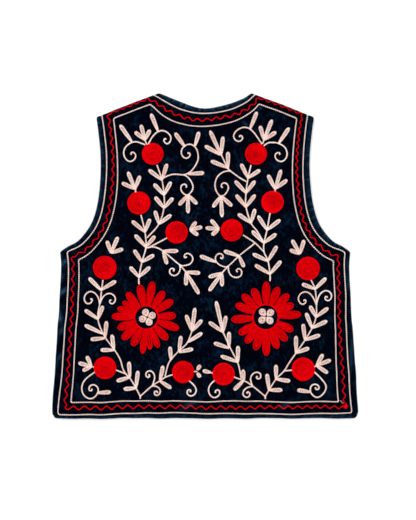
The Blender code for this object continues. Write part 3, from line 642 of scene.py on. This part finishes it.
def cloth_top(xy):
    """Height of the back's upper face: low swells, small crumples and creases, and the roll to each seam."""
    xy = np.reshape(np.array(xy, float), (-1, 2))
    from_roll = np.min([distances_to(path, xy) for path in ROLLED], axis=0)
    across, up = xy.T
    swell = sum(h * np.exp(-(((across - x) / rx) ** 2) - ((up - y) / ry) ** 2) for x, y, rx, ry, h in SWELLS)
    small = CRUMPLE * (crumple(xy, CRUMPLE_SIZE, 3.1) + 0.5 * crumple(xy, CRUMPLE_SIZE / 2.4, 8.7))
    level = UPPER_LEVEL + swell * eased(from_roll / 40) - ROLL_DROP * (1 - eased(from_roll / ROLL_WIDTH))
    return level + (small + streaks(CREASES, xy)) * (0.25 + 0.75 * eased(from_roll / 12))


def cloth_underside(xy):
    """The plain inner face of the back."""
    xy = np.reshape(np.array(xy, float), (-1, 2))
    from_roll = np.min([distances_to(path, xy) for path in ROLLED], axis=0)
    return UPPER_LEVEL - WALL - ROLL_DROP * (1 - eased(from_roll / ROLL_WIDTH))


def turned_left(polygon):
    """The polygon with its points in counter-clockwise order."""
    return list(polygon) if signed_area(polygon) > 0 else list(reversed(polygon))


def signed_area(polygon):
    x, y = np.array(polygon, float).T
    return float((x * np.roll(y, -1) - y * np.roll(x, -1)).sum() / 2)


def in_scene(name, data):
    made = bpy.data.objects.new(name, data)
    bpy.context.scene.collection.objects.link(made)
    return made


def finished_mesh(bm, name):
    mesh = bpy.data.meshes.new(name)
    bm.to_mesh(mesh)
    bm.free()
    return mesh


def new_piece(name, mesh, finish, nodes):
    """A finished piece of the garment that stands for some of the frame's nodes."""
    mesh.materials.append(finish)
    piece = in_scene(name, mesh)
    mesh.shade_smooth()
    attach(piece, "root")
    if nodes:
        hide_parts(*nodes)
    return piece


def store(mesh, name, values):
    """Keeps one number for each point of a mesh, for its material to read."""
    mesh.attributes.new(name, "FLOAT", "POINT").data.foreach_set("value", np.array(values, np.float32))


def cloth_panel(name, outline, grid, top, underside, finish, nodes, edge_steps=(0.35, 1.3, 2.6)):
    """A closed wall of cloth with soft cut edges. Returns it with the places of its points."""
    closed = np.array(outline + outline[:1])
    low, high = closed.min(0), closed.max(0)
    across, up = np.arange(low[0], high[0], grid), np.arange(low[1], high[1], grid)
    inner = np.array([(x, y) for y in up for x in across])
    inner = inner[distances_to(closed, inner) > edge_steps[-1] + grid * 0.5]
    rims = [p for step in edge_steps for p in ring_inside(outline, step)]
    edge = turned_left(outline)
    points = [Vector(p) for p in edge + rims] + [Vector(p) for p in inner]
    found = geometry.delaunay_2d_cdt(points, [], [list(range(len(edge)))], 1, 0.02)
    bm = bmesh.new()
    corners = [bm.verts.new((p.x, p.y, 0)) for p in found[0]]
    for face, sources in zip(found[2], found[5]):
        if sources:
            bm.faces.new([corners[i] for i in face])
    bmesh.ops.delete(bm, geom=[v for v in bm.verts if not v.link_faces], context="VERTS")
    made = bmesh.ops.extrude_face_region(bm, geom=bm.faces[:], use_keep_orig=True)
    upper = [item for item in made["geom"] if isinstance(item, bmesh.types.BMVert)]
    bm.verts.index_update()
    is_upper = np.zeros(len(bm.verts), bool)
    is_upper[[v.index for v in upper]] = True
    xy = np.array([v.co.xy for v in bm.verts])
    edge_drop = EDGE_DROP * (1 - eased(distances_to(closed, xy) / EDGE_ROUND))
    heights = np.where(is_upper, top(xy) - edge_drop, underside(xy) + 0.35 * edge_drop)
    for v, z in zip(bm.verts, heights):
        v.co.z = z
    bmesh.ops.recalc_face_normals(bm, faces=bm.faces[:])
    bmesh.ops.scale(bm, verts=bm.verts[:], vec=(MM, MM, MM))
    return new_piece(name, finished_mesh(bm, name), finish, nodes), xy


def ring_inside(outline, step):
    """Points a small step inside a closed outline."""
    p = np.array(outline, float)
    clockwise = signed_area(outline) < 0
    ahead, behind = np.roll(p, -1, axis=0) - p, p - np.roll(p, 1, axis=0)
    along = ahead / np.hypot(*ahead.T)[:, None] + behind / np.hypot(*behind.T)[:, None]
    inward = np.stack([along[:, 1], -along[:, 0]], axis=1) * (1 if clockwise else -1)
    inward /= np.maximum(np.hypot(*inward.T), 1e-6)[:, None]
    return [tuple(q) for q in p + inward * step]


def lobe_shape():
    """One side of a chain link, a small grain that lies along X: its points and triangles."""
    bm = bmesh.new()
    bmesh.ops.create_uvsphere(bm, u_segments=6, v_segments=3, radius=1.0)
    bmesh.ops.rotate(bm, verts=bm.verts[:], matrix=Matrix.Rotation(math.pi / 2, 3, "Y"))
    bmesh.ops.triangulate(bm, faces=bm.faces[:])
    bm.verts.index_update()
    points = np.array([v.co[:] for v in bm.verts])
    faces = np.array([[v.index for v in f.verts] for f in bm.faces])
    bm.free()
    return points, faces


LOBE_POINTS, LOBE_FACES = lobe_shape()


def link_shape(width):
    """A chain link of this width: two grains that meet at the front, in its own axes."""
    turn = math.radians(LOBE_TURN)
    length, half = LINK_PITCH * (LOBE_REACH + LOBE_STRETCH * width), width * LOBE_HALF
    high = min(LOBE_HIGH * width - LOBE_SUNK, LOBE_TOP)
    reach = math.hypot(length * math.sin(turn), half * math.cos(turn))
    both = []
    for side in (1, -1):
        p = LOBE_POINTS * (length, half, high)
        x = p[:, 0] * math.cos(turn) + side * p[:, 1] * math.sin(turn)
        y = -side * p[:, 0] * math.sin(turn) + p[:, 1] * math.cos(turn)
        both.append(np.stack([x, y + side * (width / 2 - reach), p[:, 2]], axis=1))
    return np.concatenate(both)


def chain(path, width, tone=0.0, pitch=LINK_PITCH, reach=1.0):
    """A row of chain stitch along a flat path: its steps, its width, how much deeper its tone is and how far
    each link reaches over its step."""
    return (stepped(path, pitch), width, tone, reach)


def stitches(name, rows, finish, nodes, rng, lift=YARN_LIFT):
    """One piece made of all the links of these rows. Returns it and the links' places."""
    faces = np.concatenate([LOBE_FACES, LOBE_FACES + len(LOBE_POINTS)])
    all_points, tones, places, around = [], [], [], []
    for path, width, tone, reach in rows:
        p = np.array(path)
        middle, step = (p[1:] + p[:-1]) / 2, np.diff(p, axis=0)
        size = np.hypot(*step.T)
        along = step / size[:, None]
        z = cloth_top(middle)
        slope_x, slope_y = (
            (cloth_top(middle + shift) - cloth_top(middle - shift)) / (2 * SLOPE_REACH)
            for shift in np.eye(2) * SLOPE_REACH
        )
        up = np.stack([-slope_x, -slope_y, np.ones(len(z))], axis=1)
        up /= np.linalg.norm(up, axis=1)[:, None]
        forward = np.column_stack([along, (along * np.stack([slope_x, slope_y], axis=1)).sum(1)])
        forward /= np.linalg.norm(forward, axis=1)[:, None]
        across = np.cross(up, forward)
        link = link_shape(width)
        grow = 1 + rng.uniform(-LINK_UNEVEN, LINK_UNEVEN, (len(p) - 1, 3))
        grow[:, 0] *= reach * size / LINK_PITCH
        local = link[None] * grow[:, None]
        centre = np.column_stack([middle, z]) + up * lift
        world = (
            centre[:, None]
            + local[:, :, :1] * forward[:, None]
            + local[:, :, 1:2] * across[:, None]
            + local[:, :, 2:] * up[:, None]
        )
        all_points.append(world.reshape(-1, 3))
        tones.append(rng.uniform(0, LINK_TONES, len(middle)) + rng.uniform(0, ROW_TONES) - tone)
        places.append(middle)
        around.append(len(middle))
    count = sum(around)
    points = np.concatenate(all_points) * MM
    per = 2 * len(LOBE_POINTS)
    triangles = (faces[None] + per * np.arange(count)[:, None, None]).reshape(-1, 3)
    mesh = bpy.data.meshes.new(name)
    mesh.from_pydata(points.tolist(), [], triangles.tolist())
    places = np.concatenate(places)
    store(mesh, "tone", np.repeat(np.concatenate(tones) - CROWD_TONE * crowding(places), per))
    twist = np.concatenate([LOBE_POINTS[:, 0] + side * 0.35 * LOBE_POINTS[:, 1] for side in (1, -1)])
    store(mesh, "twist", np.tile(twist, count))
    return new_piece(name, mesh, finish, nodes), places


def search_tree(places):
    tree = kdtree.KDTree(len(places))
    for i, (x, y) in enumerate(places):
        tree.insert((x, y, 0), i)
    tree.balance()
    return tree


def crowding(places):
    """How many links more than two lie on each place, up to four."""
    tree = search_tree(places)
    return np.array([min(max(len(tree.find_range((x, y, 0), CROWD_REACH)) - 2, 0), 4) for x, y in places])


def tapered_rows(foot, tip, width, fill):
    """Nested rows of chain stitch that fill a leaf, a petal or a dot, from its edge to its middle."""
    profile, row, row_width, tone, reach, middle_width, middle_tone = fill
    foot, tip = Vector(foot), Vector(tip)
    along = (tip - foot).normalized()
    across = Vector((-along.y, along.x))
    length = (tip - foot).length
    rows, depth = [], row_width / 2
    while width / 2 - depth > row * 0.55:
        one, two = [], []
        for t, share in profile:
            middle = foot + along * (t * (length - depth))
            side = across * max(share * width / 2 - depth, 0.25)
            one.append(tuple(middle + side))
            two.append(tuple(middle - side))
        path = curve(one + [tuple(tip - along * depth)] + two[::-1], row / 2)
        rows.append(chain(path, row_width, tone, NEST_PITCH, reach))
        depth += row
    path = [tuple(foot + along * row), tuple(tip - along * depth * 0.84)]
    rows.append(chain(path, middle_width, middle_tone, LINK_PITCH, reach))
    return rows


def spiral_rows(centre, radius, row, width, rng):
    """Chain stitch wound from a disc's edge to its middle, each turn in its own tone."""
    off_x, off_y = rng.uniform(-0.12, 0.12, 2) * radius
    rows, points, angle = [], [], 0.0
    reach = radius - width / 2
    while reach > row * 0.45:
        shift = 1 - reach / radius
        points.append((
            centre[0] + off_x * shift + reach * math.cos(angle),
            centre[1] + off_y * shift + reach * math.sin(angle),
        ))
        step = min(0.5, 1.5 / reach)
        angle += step
        if angle > math.tau * (len(rows) + 1):
            rows.append(chain(points, width, rng.uniform(0, TURN_TONE), LINK_PITCH, FILL_REACH))
            points = points[-1:]
        if rows:
            reach -= row * step / math.tau
    if len(points) > 2:
        rows.append(chain(points, width, -TURN_TONE, LINK_PITCH, FILL_REACH))
    return rows


def circle(centre, radius, count=48):
    return [
        (centre[0] + radius * math.cos(math.tau * i / count), centre[1] + radius * math.sin(math.tau * i / count))
        for i in range(count + 1)
    ]


def waved(path, edge):
    """A wavy line that follows a path and meets its ends."""
    length, reach, last_length, last_reach = WAVES[edge]
    path = stepped(path, WAVE_STEP)
    phase = np.concatenate([[0], np.cumsum(1 / np.linspace(length, last_length, len(path) - 1))])
    phase *= max(1, round(phase[-1] * 1.2)) * math.tau / phase[-1]
    slips = np.array([noise.noise(Vector((t / WAVE_SLIP_SIZE, reach, last_length))) for t in phase])
    phase += WAVE_SLIP * np.sin(np.linspace(0, math.pi, len(path))) * slips
    sway = np.sin(phase) - np.sin(3 * phase) / 9
    return beside(path, 1.08 * np.linspace(reach, last_reach, len(path)) * sway)


def node(tree, kind, **inputs):
    """A shader node with the values of its sockets set by name."""
    made = tree.nodes.new(kind)
    for name, value in inputs.items():
        made.inputs[name.replace("_", " ")].default_value = value
    return made


def own_place(tree):
    return tree.nodes.new("ShaderNodeTexCoord").outputs["Object"]


def stored(tree, name):
    """A number that store() keeps for each point."""
    made = tree.nodes.new("ShaderNodeAttribute")
    made.attribute_name = name
    return made.outputs["Fac"]


def new_material(name, roughness, gloss, sheen=0.0, sheen_tint=(1, 1, 1), sheen_roughness=0.5):
    made = bpy.data.materials.new(name)
    made.use_nodes = True
    shader = made.node_tree.nodes["Principled BSDF"]
    shader.inputs["Roughness"].default_value = roughness
    shader.inputs["Specular IOR Level"].default_value = gloss
    shader.inputs["Sheen Weight"].default_value = sheen
    shader.inputs["Sheen Tint"].default_value = (*sheen_tint, 1)
    shader.inputs["Sheen Roughness"].default_value = sheen_roughness
    return made, made.node_tree, shader


def mixed(tree, factor, one, two, blend="MIX"):
    """A colour mix whose inputs are sockets or plain colours. Returns its result socket."""
    mix = tree.nodes.new("ShaderNodeMix")
    mix.data_type = "RGBA"
    mix.blend_type = blend
    for index, value in ((0, factor), (6, one), (7, two)):
        if isinstance(value, bpy.types.NodeSocket):
            tree.links.new(value, mix.inputs[index])
        else:
            mix.inputs[index].default_value = value if index == 0 else (*value, 1)
    return mix.outputs[2]


def ranged(tree, value, low, high, to_low=0.0, to_high=1.0):
    made = tree.nodes.new("ShaderNodeMapRange")
    for name, number in (("From Min", low), ("From Max", high), ("To Min", to_low), ("To Max", to_high)):
        made.inputs[name].default_value = number
    tree.links.new(value, made.inputs["Value"])
    return made.outputs["Result"]


def calculated(tree, operation, one, two):
    made = tree.nodes.new("ShaderNodeMath")
    made.operation = operation
    for index, value in ((0, one), (1, two)):
        if isinstance(value, bpy.types.NodeSocket):
            tree.links.new(value, made.inputs[index])
        else:
            made.inputs[index].default_value = value
    return made.outputs[0]


def added_up(tree, *parts):
    """The sum of sockets, each times its factor."""
    products = [calculated(tree, "MULTIPLY", socket, factor) for socket, factor in parts]
    total = products[0]
    for product in products[1:]:
        total = calculated(tree, "ADD", total, product)
    return total


def cloudy(tree, place, scale, detail, roughness=0.55):
    """Noise over the piece's own coordinates."""
    made = node(tree, "ShaderNodeTexNoise", Scale=scale, Detail=detail, Roughness=roughness)
    tree.links.new(place, made.inputs["Vector"])
    return made.outputs["Fac"]


def bumped(tree, shader, heights):
    """Joins bumps, each a height socket with its strength and distance in metres, into the shader's normal."""
    last = None
    for height, strength, distance in heights:
        bump = node(tree, "ShaderNodeBump", Strength=strength, Distance=distance)
        tree.links.new(height, bump.inputs["Height"])
        if last:
            tree.links.new(last, bump.inputs["Normal"])
        last = bump.outputs["Normal"]
    tree.links.new(last, shader.inputs["Normal"])


def velvet(name, dark, light, cloud_low, cloud_high):
    """Cotton velvet whose crushed pile shows as cloudy lighter patches, their strength also carrying painted light and
    shade, and lightest at faint marks and painted highlights.
    """
    made, tree, shader = new_material(name, 0.9, 0.004, 0.016, (0.3, 0.55, 1.0), 0.35)
    place = own_place(tree)
    brushed = tree.nodes.new("ShaderNodeMapping")
    brushed.inputs["Scale"].default_value = (1.25, 0.8, 1.0)
    brushed.inputs["Rotation"].default_value = (0.0, 0.0, 0.35)
    tree.links.new(place, brushed.inputs["Vector"])
    broad = cloudy(tree, place, 48.0, 2.0)
    patches = cloudy(tree, brushed.outputs["Vector"], 170.0, 4.0, 0.65)
    pile = cloudy(tree, place, 1500.0, 2.0)
    clouds = ranged(tree, added_up(tree, (broad, 0.4), (patches, 0.6)), cloud_low, cloud_high)
    # Their strength, stored for each point, also carries painted shade beside the stitches and painted light and shade
    # on the bindings
    clouds = calculated(tree, "MULTIPLY", clouds, stored(tree, "nap_light_and_shade"))
    grain = tree.nodes.new("ShaderNodeCombineColor")
    for channel in range(3):
        tree.links.new(ranged(tree, pile, 0.3, 0.7, 0.7, 1.3), grain.inputs[channel])
    # Faint marks and painted highlights on crease ridges and edges lighten the pile towards this colour
    colour = mixed(tree, stored(tree, "marks_and_highlights"), mixed(tree, clouds, dark, light), MARK_AND_HIGHLIGHT_COLOUR)
    colour = mixed(tree, 1.0, colour, grain.outputs[0], "MULTIPLY")
    tree.links.new(colour, shader.inputs["Base Color"])
    bumped(tree, shader, ((patches, 0.35, 0.0012), (pile, 0.5, 0.0003)))
    return made


def yarn(name, main, deep, gloss):
    """Twisted embroidery yarn with a slightly different tone in each link."""
    made, tree, shader = new_material(name, 0.85, gloss)
    plies = calculated(tree, "SINE", calculated(tree, "MULTIPLY", stored(tree, "twist"), math.tau * 2), 0.0)
    plies = ranged(tree, plies, -1.0, 1.0)
    fibres = cloudy(tree, own_place(tree), 2600.0, 2.0)
    share = added_up(tree, (plies, 0.4), (stored(tree, "tone"), 0.5), (fibres, 0.4))
    colour = mixed(tree, ranged(tree, share, 0.25, 0.95), deep, main)
    tree.links.new(colour, shader.inputs["Base Color"])
    bumped(tree, shader, ((plies, 0.5, 0.0003), (fibres, 0.4, 0.0002)))
    return made


# A pale blue for faint marks on the pile and for painted highlights on crease ridges, edges and the bindings' rolls
MARK_AND_HIGHLIGHT_COLOUR = (0.017, 0.055, 0.105)
NAVY_VELVET = velvet("navy_velvet_pile", (0.0002, 0.0007, 0.0028), (0.0035, 0.016, 0.039), 0.50, 0.72)
BINDING_VELVET = velvet("binding_velvet_pile", (0.0005, 0.0018, 0.006), (0.011, 0.04, 0.082), 0.44, 0.64)
RED_YARN = yarn("red_embroidery_yarn", (0.92, 0.0006, 0.0045), (0.52, 0.0, 0.002), 0.002)
PALE_YARN = yarn("pale_pink_embroidery_yarn", (1.0, 0.87, 0.81), (0.80, 0.50, 0.43), 0.05)


def make_border(rng):
    """The three lines of stitching round the back, and the knot at their corner."""
    _, outer = inset_loop(OUTER_LINE)
    body = [point for name in ("armhole_right", "side_right", "hem", "side_left") for point in outer[name][:-1]]
    paths = (outer["neck"], body + outer["armhole_left"])
    rows = [chain(path, LINE_WIDTH, LINE_TONE, LINE_PITCH, LINE_REACH) for path in paths]
    rows.append(chain([square(*place) for place in STROKE], STROKE_WIDTH, STROKE_TONE))
    nodes = ("outer_line_neck", "outer_line_body")
    pieces = [stitches("outer_line_stitches", rows, PALE_YARN, nodes, rng)]
    inner, _ = inset_loop(INNER_LINE)
    rows = [chain(inner + inner[:1], LINE_WIDTH, LINE_TONE, LINE_PITCH, LINE_REACH)]
    pieces.append(stitches("inner_line_stitches", rows, PALE_YARN, ("inner_line",), rng))
    _, wave = inset_loop(WAVE_LINE)
    path = [point for name, part in wave.items() for point in waved(part, name)[:-1]]
    rows = [chain(path + path[:1], WAVE_WIDTH, WAVE_TONE, WAVE_PITCH)]
    rows += spiral_rows(square(*KNOT), KNOT_RADIUS, KNOT_ROW, KNOT_ROW_WIDTH, rng)
    pieces.append(stitches("red_wave_stitches", rows, RED_YARN, (), rng))
    return pieces


def make_discs(rng):
    pieces = []
    for name, column, row, radius in DISCS:
        rows = spiral_rows(square(column, row), radius * SQUARE, FILL_ROW, FILL_WIDTH, rng)
        pieces.append(stitches(f"{name}_stitches", rows, RED_YARN, (name,), rng, FILL_LIFT))
    return pieces


def bearing_line(centre, bearing, start, reach):
    """The two ends of a petal that points along a compass bearing."""
    out = Vector((math.sin(math.radians(bearing)), math.cos(math.radians(bearing))))
    return centre + out * start, centre + out * reach


def make_flowers(rng):
    pieces = []
    for (side, column, row, ring, dot_column, dot_row, turn, dot_reach), petals in FLOWERS:
        centre = Vector(square(column, row))
        rows = [chain(circle(centre, ring * SQUARE), RING_WIDTH)]
        bearings = [bearing for bearing, _ in petals]
        for i, (bearing, reach) in enumerate(petals):
            before, after = bearings[i - 1], bearings[(i + 1) % len(petals)]
            nearest = min((bearing - before) % 360, (after - bearing) % 360)
            width = min(PETAL_WIDTH, math.radians(nearest) * reach * 0.8 * SQUARE)
            foot, tip = bearing_line(centre, bearing, ring * SQUARE + 1, reach * SQUARE)
            rows += tapered_rows(foot, tip, width, PETAL_FILL)
        name = f"flower_{side}"
        pieces.append(stitches(f"{name}_stitches", rows, RED_YARN, (name,), rng, FILL_LIFT))
        rows = []
        centre = Vector(square(dot_column, dot_row))
        for quarter in range(4):
            foot, tip = bearing_line(centre, 90 * quarter + turn, DOT_START, dot_reach * SQUARE)
            rows += tapered_rows(foot, tip, DOT_WIDTH, DOT_FILL)
        name = f"rosette_{side}"
        pieces.append(stitches(f"{name}_stitches", rows, PALE_YARN, (name,), rng))
    return pieces


def make_sprays(rng):
    """The stems, tendrils and leaves of each half."""
    halves = {"left": [], "right": []}
    for row in STEMS:
        path = curve([square(*place) for place in row], 1.2)
        halves["left" if path[0][0] < 0 else "right"].append(chain(path, STEM_WIDTH))
    for foot, *tips in SPRAYS:
        start = square(*foot)
        half = halves["left" if start[0] < 0 else "right"]
        for tip in tips:
            tip = Vector(square(*tip))
            tip += (tip - Vector(start)).normalized() * LEAF_TIP
            half += tapered_rows(start, tip, LEAF_WIDTH, LEAF_FILL)
    pieces = []
    for side, rows in halves.items():
        nodes = [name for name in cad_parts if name.startswith(f"spray_{side}_")]
        pieces.append(stitches(f"spray_{side}_stitches", rows, PALE_YARN, nodes, rng))
    return pieces


def make_back(stitch_places):
    """The back panel, pulled down a little beside each row of stitching."""
    outline, _ = inset_loop(seam(SEAM_GAP))
    tree = search_tree(stitch_places)

    def from_stitches(xy):
        return np.array([tree.find((x, y, 0))[2] for x, y in xy])

    def pressed(xy):
        return cloth_top(xy) - PRESS_DEPTH * np.exp(-((from_stitches(xy) / PRESS_REACH) ** 2))

    piece, xy = cloth_panel("back_velvet", outline, BACK_GRID, pressed, cloth_underside, NAVY_VELVET, ("back",))
    # Painted shade: the lighter patches of the pile fade out beside the stitches and dim near the inner line; the
    # broad noise is the pile's own uneven crushing
    inner, _ = inset_loop(INNER_LINE)
    border = eased(1 - distances_to(np.array(inner + inner[:1]), xy) / BORDER_SHADE_REACH)
    broad = 0.5 + 0.5 * crumple(xy, NAP_PATCH_SIZE, 21.0)
    near, far = STITCH_SHADE_REACH
    nap_light_and_shade = eased((from_stitches(xy) - near) / (far - near)) * (0.45 + 0.75 * broad) * (1 - 0.3 * border)
    store(piece.data, "nap_light_and_shade", np.clip(nap_light_and_shade, 0, 1.3))
    # Painted highlights along the garment's edges and on the crease ridges, with the faint marks on the pile
    from_edge = np.min([distances_to(np.array(path), xy) for path in EDGES.values()], axis=0)
    marks_and_highlights = CREASE_HIGHLIGHT * np.maximum(streaks(CREASES, xy), 0) + streaks(MARKS, xy)
    marks_and_highlights += EDGE_HIGHLIGHT * np.exp(-((from_edge / EDGE_HIGHLIGHT_REACH) ** 2))
    store(piece.data, "marks_and_highlights", np.clip(marks_and_highlights, 0, 1))
    return piece, outline


def make_front(side):
    """One of the two fronts that lie side by side under the back."""
    paths = [curve(FRONT_NECK, CURVE_STEP * 2)]
    for name, distance in FRONT_INSET.items():
        paths.append(beside([p for p in EDGES[name] if p[0] > -1], distance))
    paths.append([(FRONT_MEETING, -280.0), (FRONT_MEETING, 110.0)])
    outline, _ = loop_of(paths)
    outline = outline if side == "right" else mirrored(outline)
    piece, xy = cloth_panel(
        f"front_{side}_velvet",
        outline,
        FRONT_GRID,
        lambda xy: np.full(len(xy), WALL),
        lambda xy: np.zeros(len(xy)),
        NAVY_VELVET,
        (f"front_{side}",),
        edge_steps=(0.6, 1.6),
    )
    store(piece.data, "nap_light_and_shade", 0.5 + 0.5 * crumple(xy, 40.0, 5.0))
    return piece, outline


def make_binding(edge, trimmed):
    """A narrow rolled strip round a cut edge, drawn into small gathers by its stitches."""
    name = edge.replace("armhole", "armhole_binding") if "armhole" in edge else f"{edge}_binding"
    outer = EDGES[edge]
    count = max(8, round(length_of(outer) / BINDING_STEP))
    a, b = np.array(sampled(outer, count)), np.array(sampled(trimmed[edge], count))
    along = np.linspace(0, length_of(outer), count + 1)
    level = np.zeros(count + 1)
    gather = crumple(np.column_stack([along * GATHER_FINENESS, level]), CRUMPLE_SIZE, len(name))
    slow = crumple(np.column_stack([along, level]), CRUMPLE_SIZE, 40 + len(name))
    turn = np.linspace(0, math.tau, BINDING_SIDES, endpoint=False)
    across = 0.5 - 0.5 * np.copysign(np.abs(np.cos(turn)) ** 0.75, np.cos(turn))
    rise = 0.5 + 0.5 * np.copysign(np.abs(np.sin(turn)) ** 0.75, np.sin(turn))
    from_end = np.minimum(along, along[-1] - along) / BINDING_END
    closing = np.sqrt(1 - (1 - np.clip(from_end, 0.06, 1)) ** 2)[:, None]
    across = 0.5 + (across[None] - 0.5) * (0.45 + 0.55 * closing)
    inward = (b - a) / np.hypot(*(b - a).T)[:, None]
    over = BINDING_OVERLAP * eased((rise[None] - 0.4) / 0.3) * across
    xy = a[:, None] + (b - a)[:, None] * across[:, :, None] + inward[:, None] * over[:, :, None]
    z = cloth_underside(xy.reshape(-1, 2)).reshape(xy.shape[:2])
    swell = 1 + 0.22 * gather[:, None] * (rise > 0.5)
    z = z + (0.5 + (rise[None] - 0.5) * closing) * (WALL + BINDING_PROUD) * swell + 0.25 * slow[:, None] * rise
    bm = bmesh.new()
    rings = [[bm.verts.new((x, y, max(h, 0.0))) for (x, y), h in zip(*ring)] for ring in zip(xy, z)]
    for one, two in zip(rings, rings[1:]):
        for i in range(len(one)):
            j = (i + 1) % len(one)
            bm.faces.new((one[i], one[j], two[j], two[i]))
    bm.faces.new(rings[0])
    bm.faces.new(rings[-1])
    bmesh.ops.recalc_face_normals(bm, faces=bm.faces[:])
    area = sum(face.calc_area() for face in bm.faces) / 2
    bmesh.ops.scale(bm, verts=bm.verts[:], vec=(MM, MM, MM))
    mesh = finished_mesh(bm, name)
    # Painted light and shade on the binding: the pile's patches are lighter on the gathers' crests and slow swells,
    # darker in their folds and towards the seam side
    nap_light_and_shade = np.clip(0.5 + 1.3 * gather + 0.4 * slow, 0.05, 1.3)[:, None] * (1.0 - 0.9 * across)
    store(mesh, "nap_light_and_shade", nap_light_and_shade.reshape(-1))
    # A painted highlight along the top of the roll at the outer edge, strongest on the gathers' crests
    rim = BINDING_RIM[kind_of(edge)] * np.exp(-((across / 0.45) ** 2)) * (rise > 0.3)
    store(mesh, "marks_and_highlights", np.clip(rim * (0.4 + 2.8 * gather[:, None]), 0, 1).reshape(-1))
    piece = new_piece(f"{name}_velvet", mesh, BINDING_VELVET, (name,))
    return piece, length_of(outer), area


def make_stage():
    """A plain pale floor, soft light and the camera straight above."""
    bm = bmesh.new()
    bmesh.ops.create_grid(bm, x_segments=2, y_segments=2, size=FLOOR_REACH)
    bmesh.ops.translate(bm, verts=bm.verts[:], vec=(0, 0, FLOOR_LEVEL))
    floor = in_scene("floor", finished_mesh(bm, "floor"))
    made, tree, shader = new_material("pale_floor", 0.9, 0.1)
    pale = mixed(tree, cloudy(tree, own_place(tree), 3.0, 2.0), (0.87, 0.87, 0.87), (0.89, 0.89, 0.89))
    tree.links.new(pale, shader.inputs["Base Color"])
    floor.data.materials.append(made)
    world = bpy.data.worlds.new("studio")
    bpy.context.scene.world = world
    world.use_nodes = True
    world.node_tree.nodes["Background"].inputs["Color"].default_value = (1, 1, 1, 1)
    world.node_tree.nodes["Background"].inputs["Strength"].default_value = 1.0
    for name, energy, size, place in LAMPS:
        light = bpy.data.lights.new(name, "AREA")
        light.energy, light.size = energy, size
        lamp = in_scene(name, light)
        lamp.location = place
        lamp.rotation_euler = (-Vector(place)).to_track_quat("-Z", "Y").to_euler()
    view = bpy.data.cameras.new("camera")
    view.lens, view.sensor_fit, view.sensor_height, view.sensor_width = LENS, "VERTICAL", SENSOR, SENSOR
    view.clip_start, view.clip_end = 0.01, 20
    camera = in_scene("camera", view)
    height = FRAME_HEIGHT * LENS / SENSOR + UPPER_LEVEL
    camera.location = (FRAME_CENTRE[0] * MM, FRAME_CENTRE[1] * MM, height * MM)
    bpy.context.scene.camera = camera
    bpy.context.scene.view_settings.view_transform = "Standard"
    return floor


rng = np.random.default_rng(7)
floor = make_stage()
embroidery = make_border(rng) + make_discs(rng) + make_flowers(rng) + make_sprays(rng)
back, back_cut = make_back(np.concatenate([places for _, places in embroidery]))
fronts = [make_front(side) for side in ("left", "right")]
_, bound = inset_loop(seam(0.0))
bindings = [make_binding(edge, bound) for edge in BOUND]
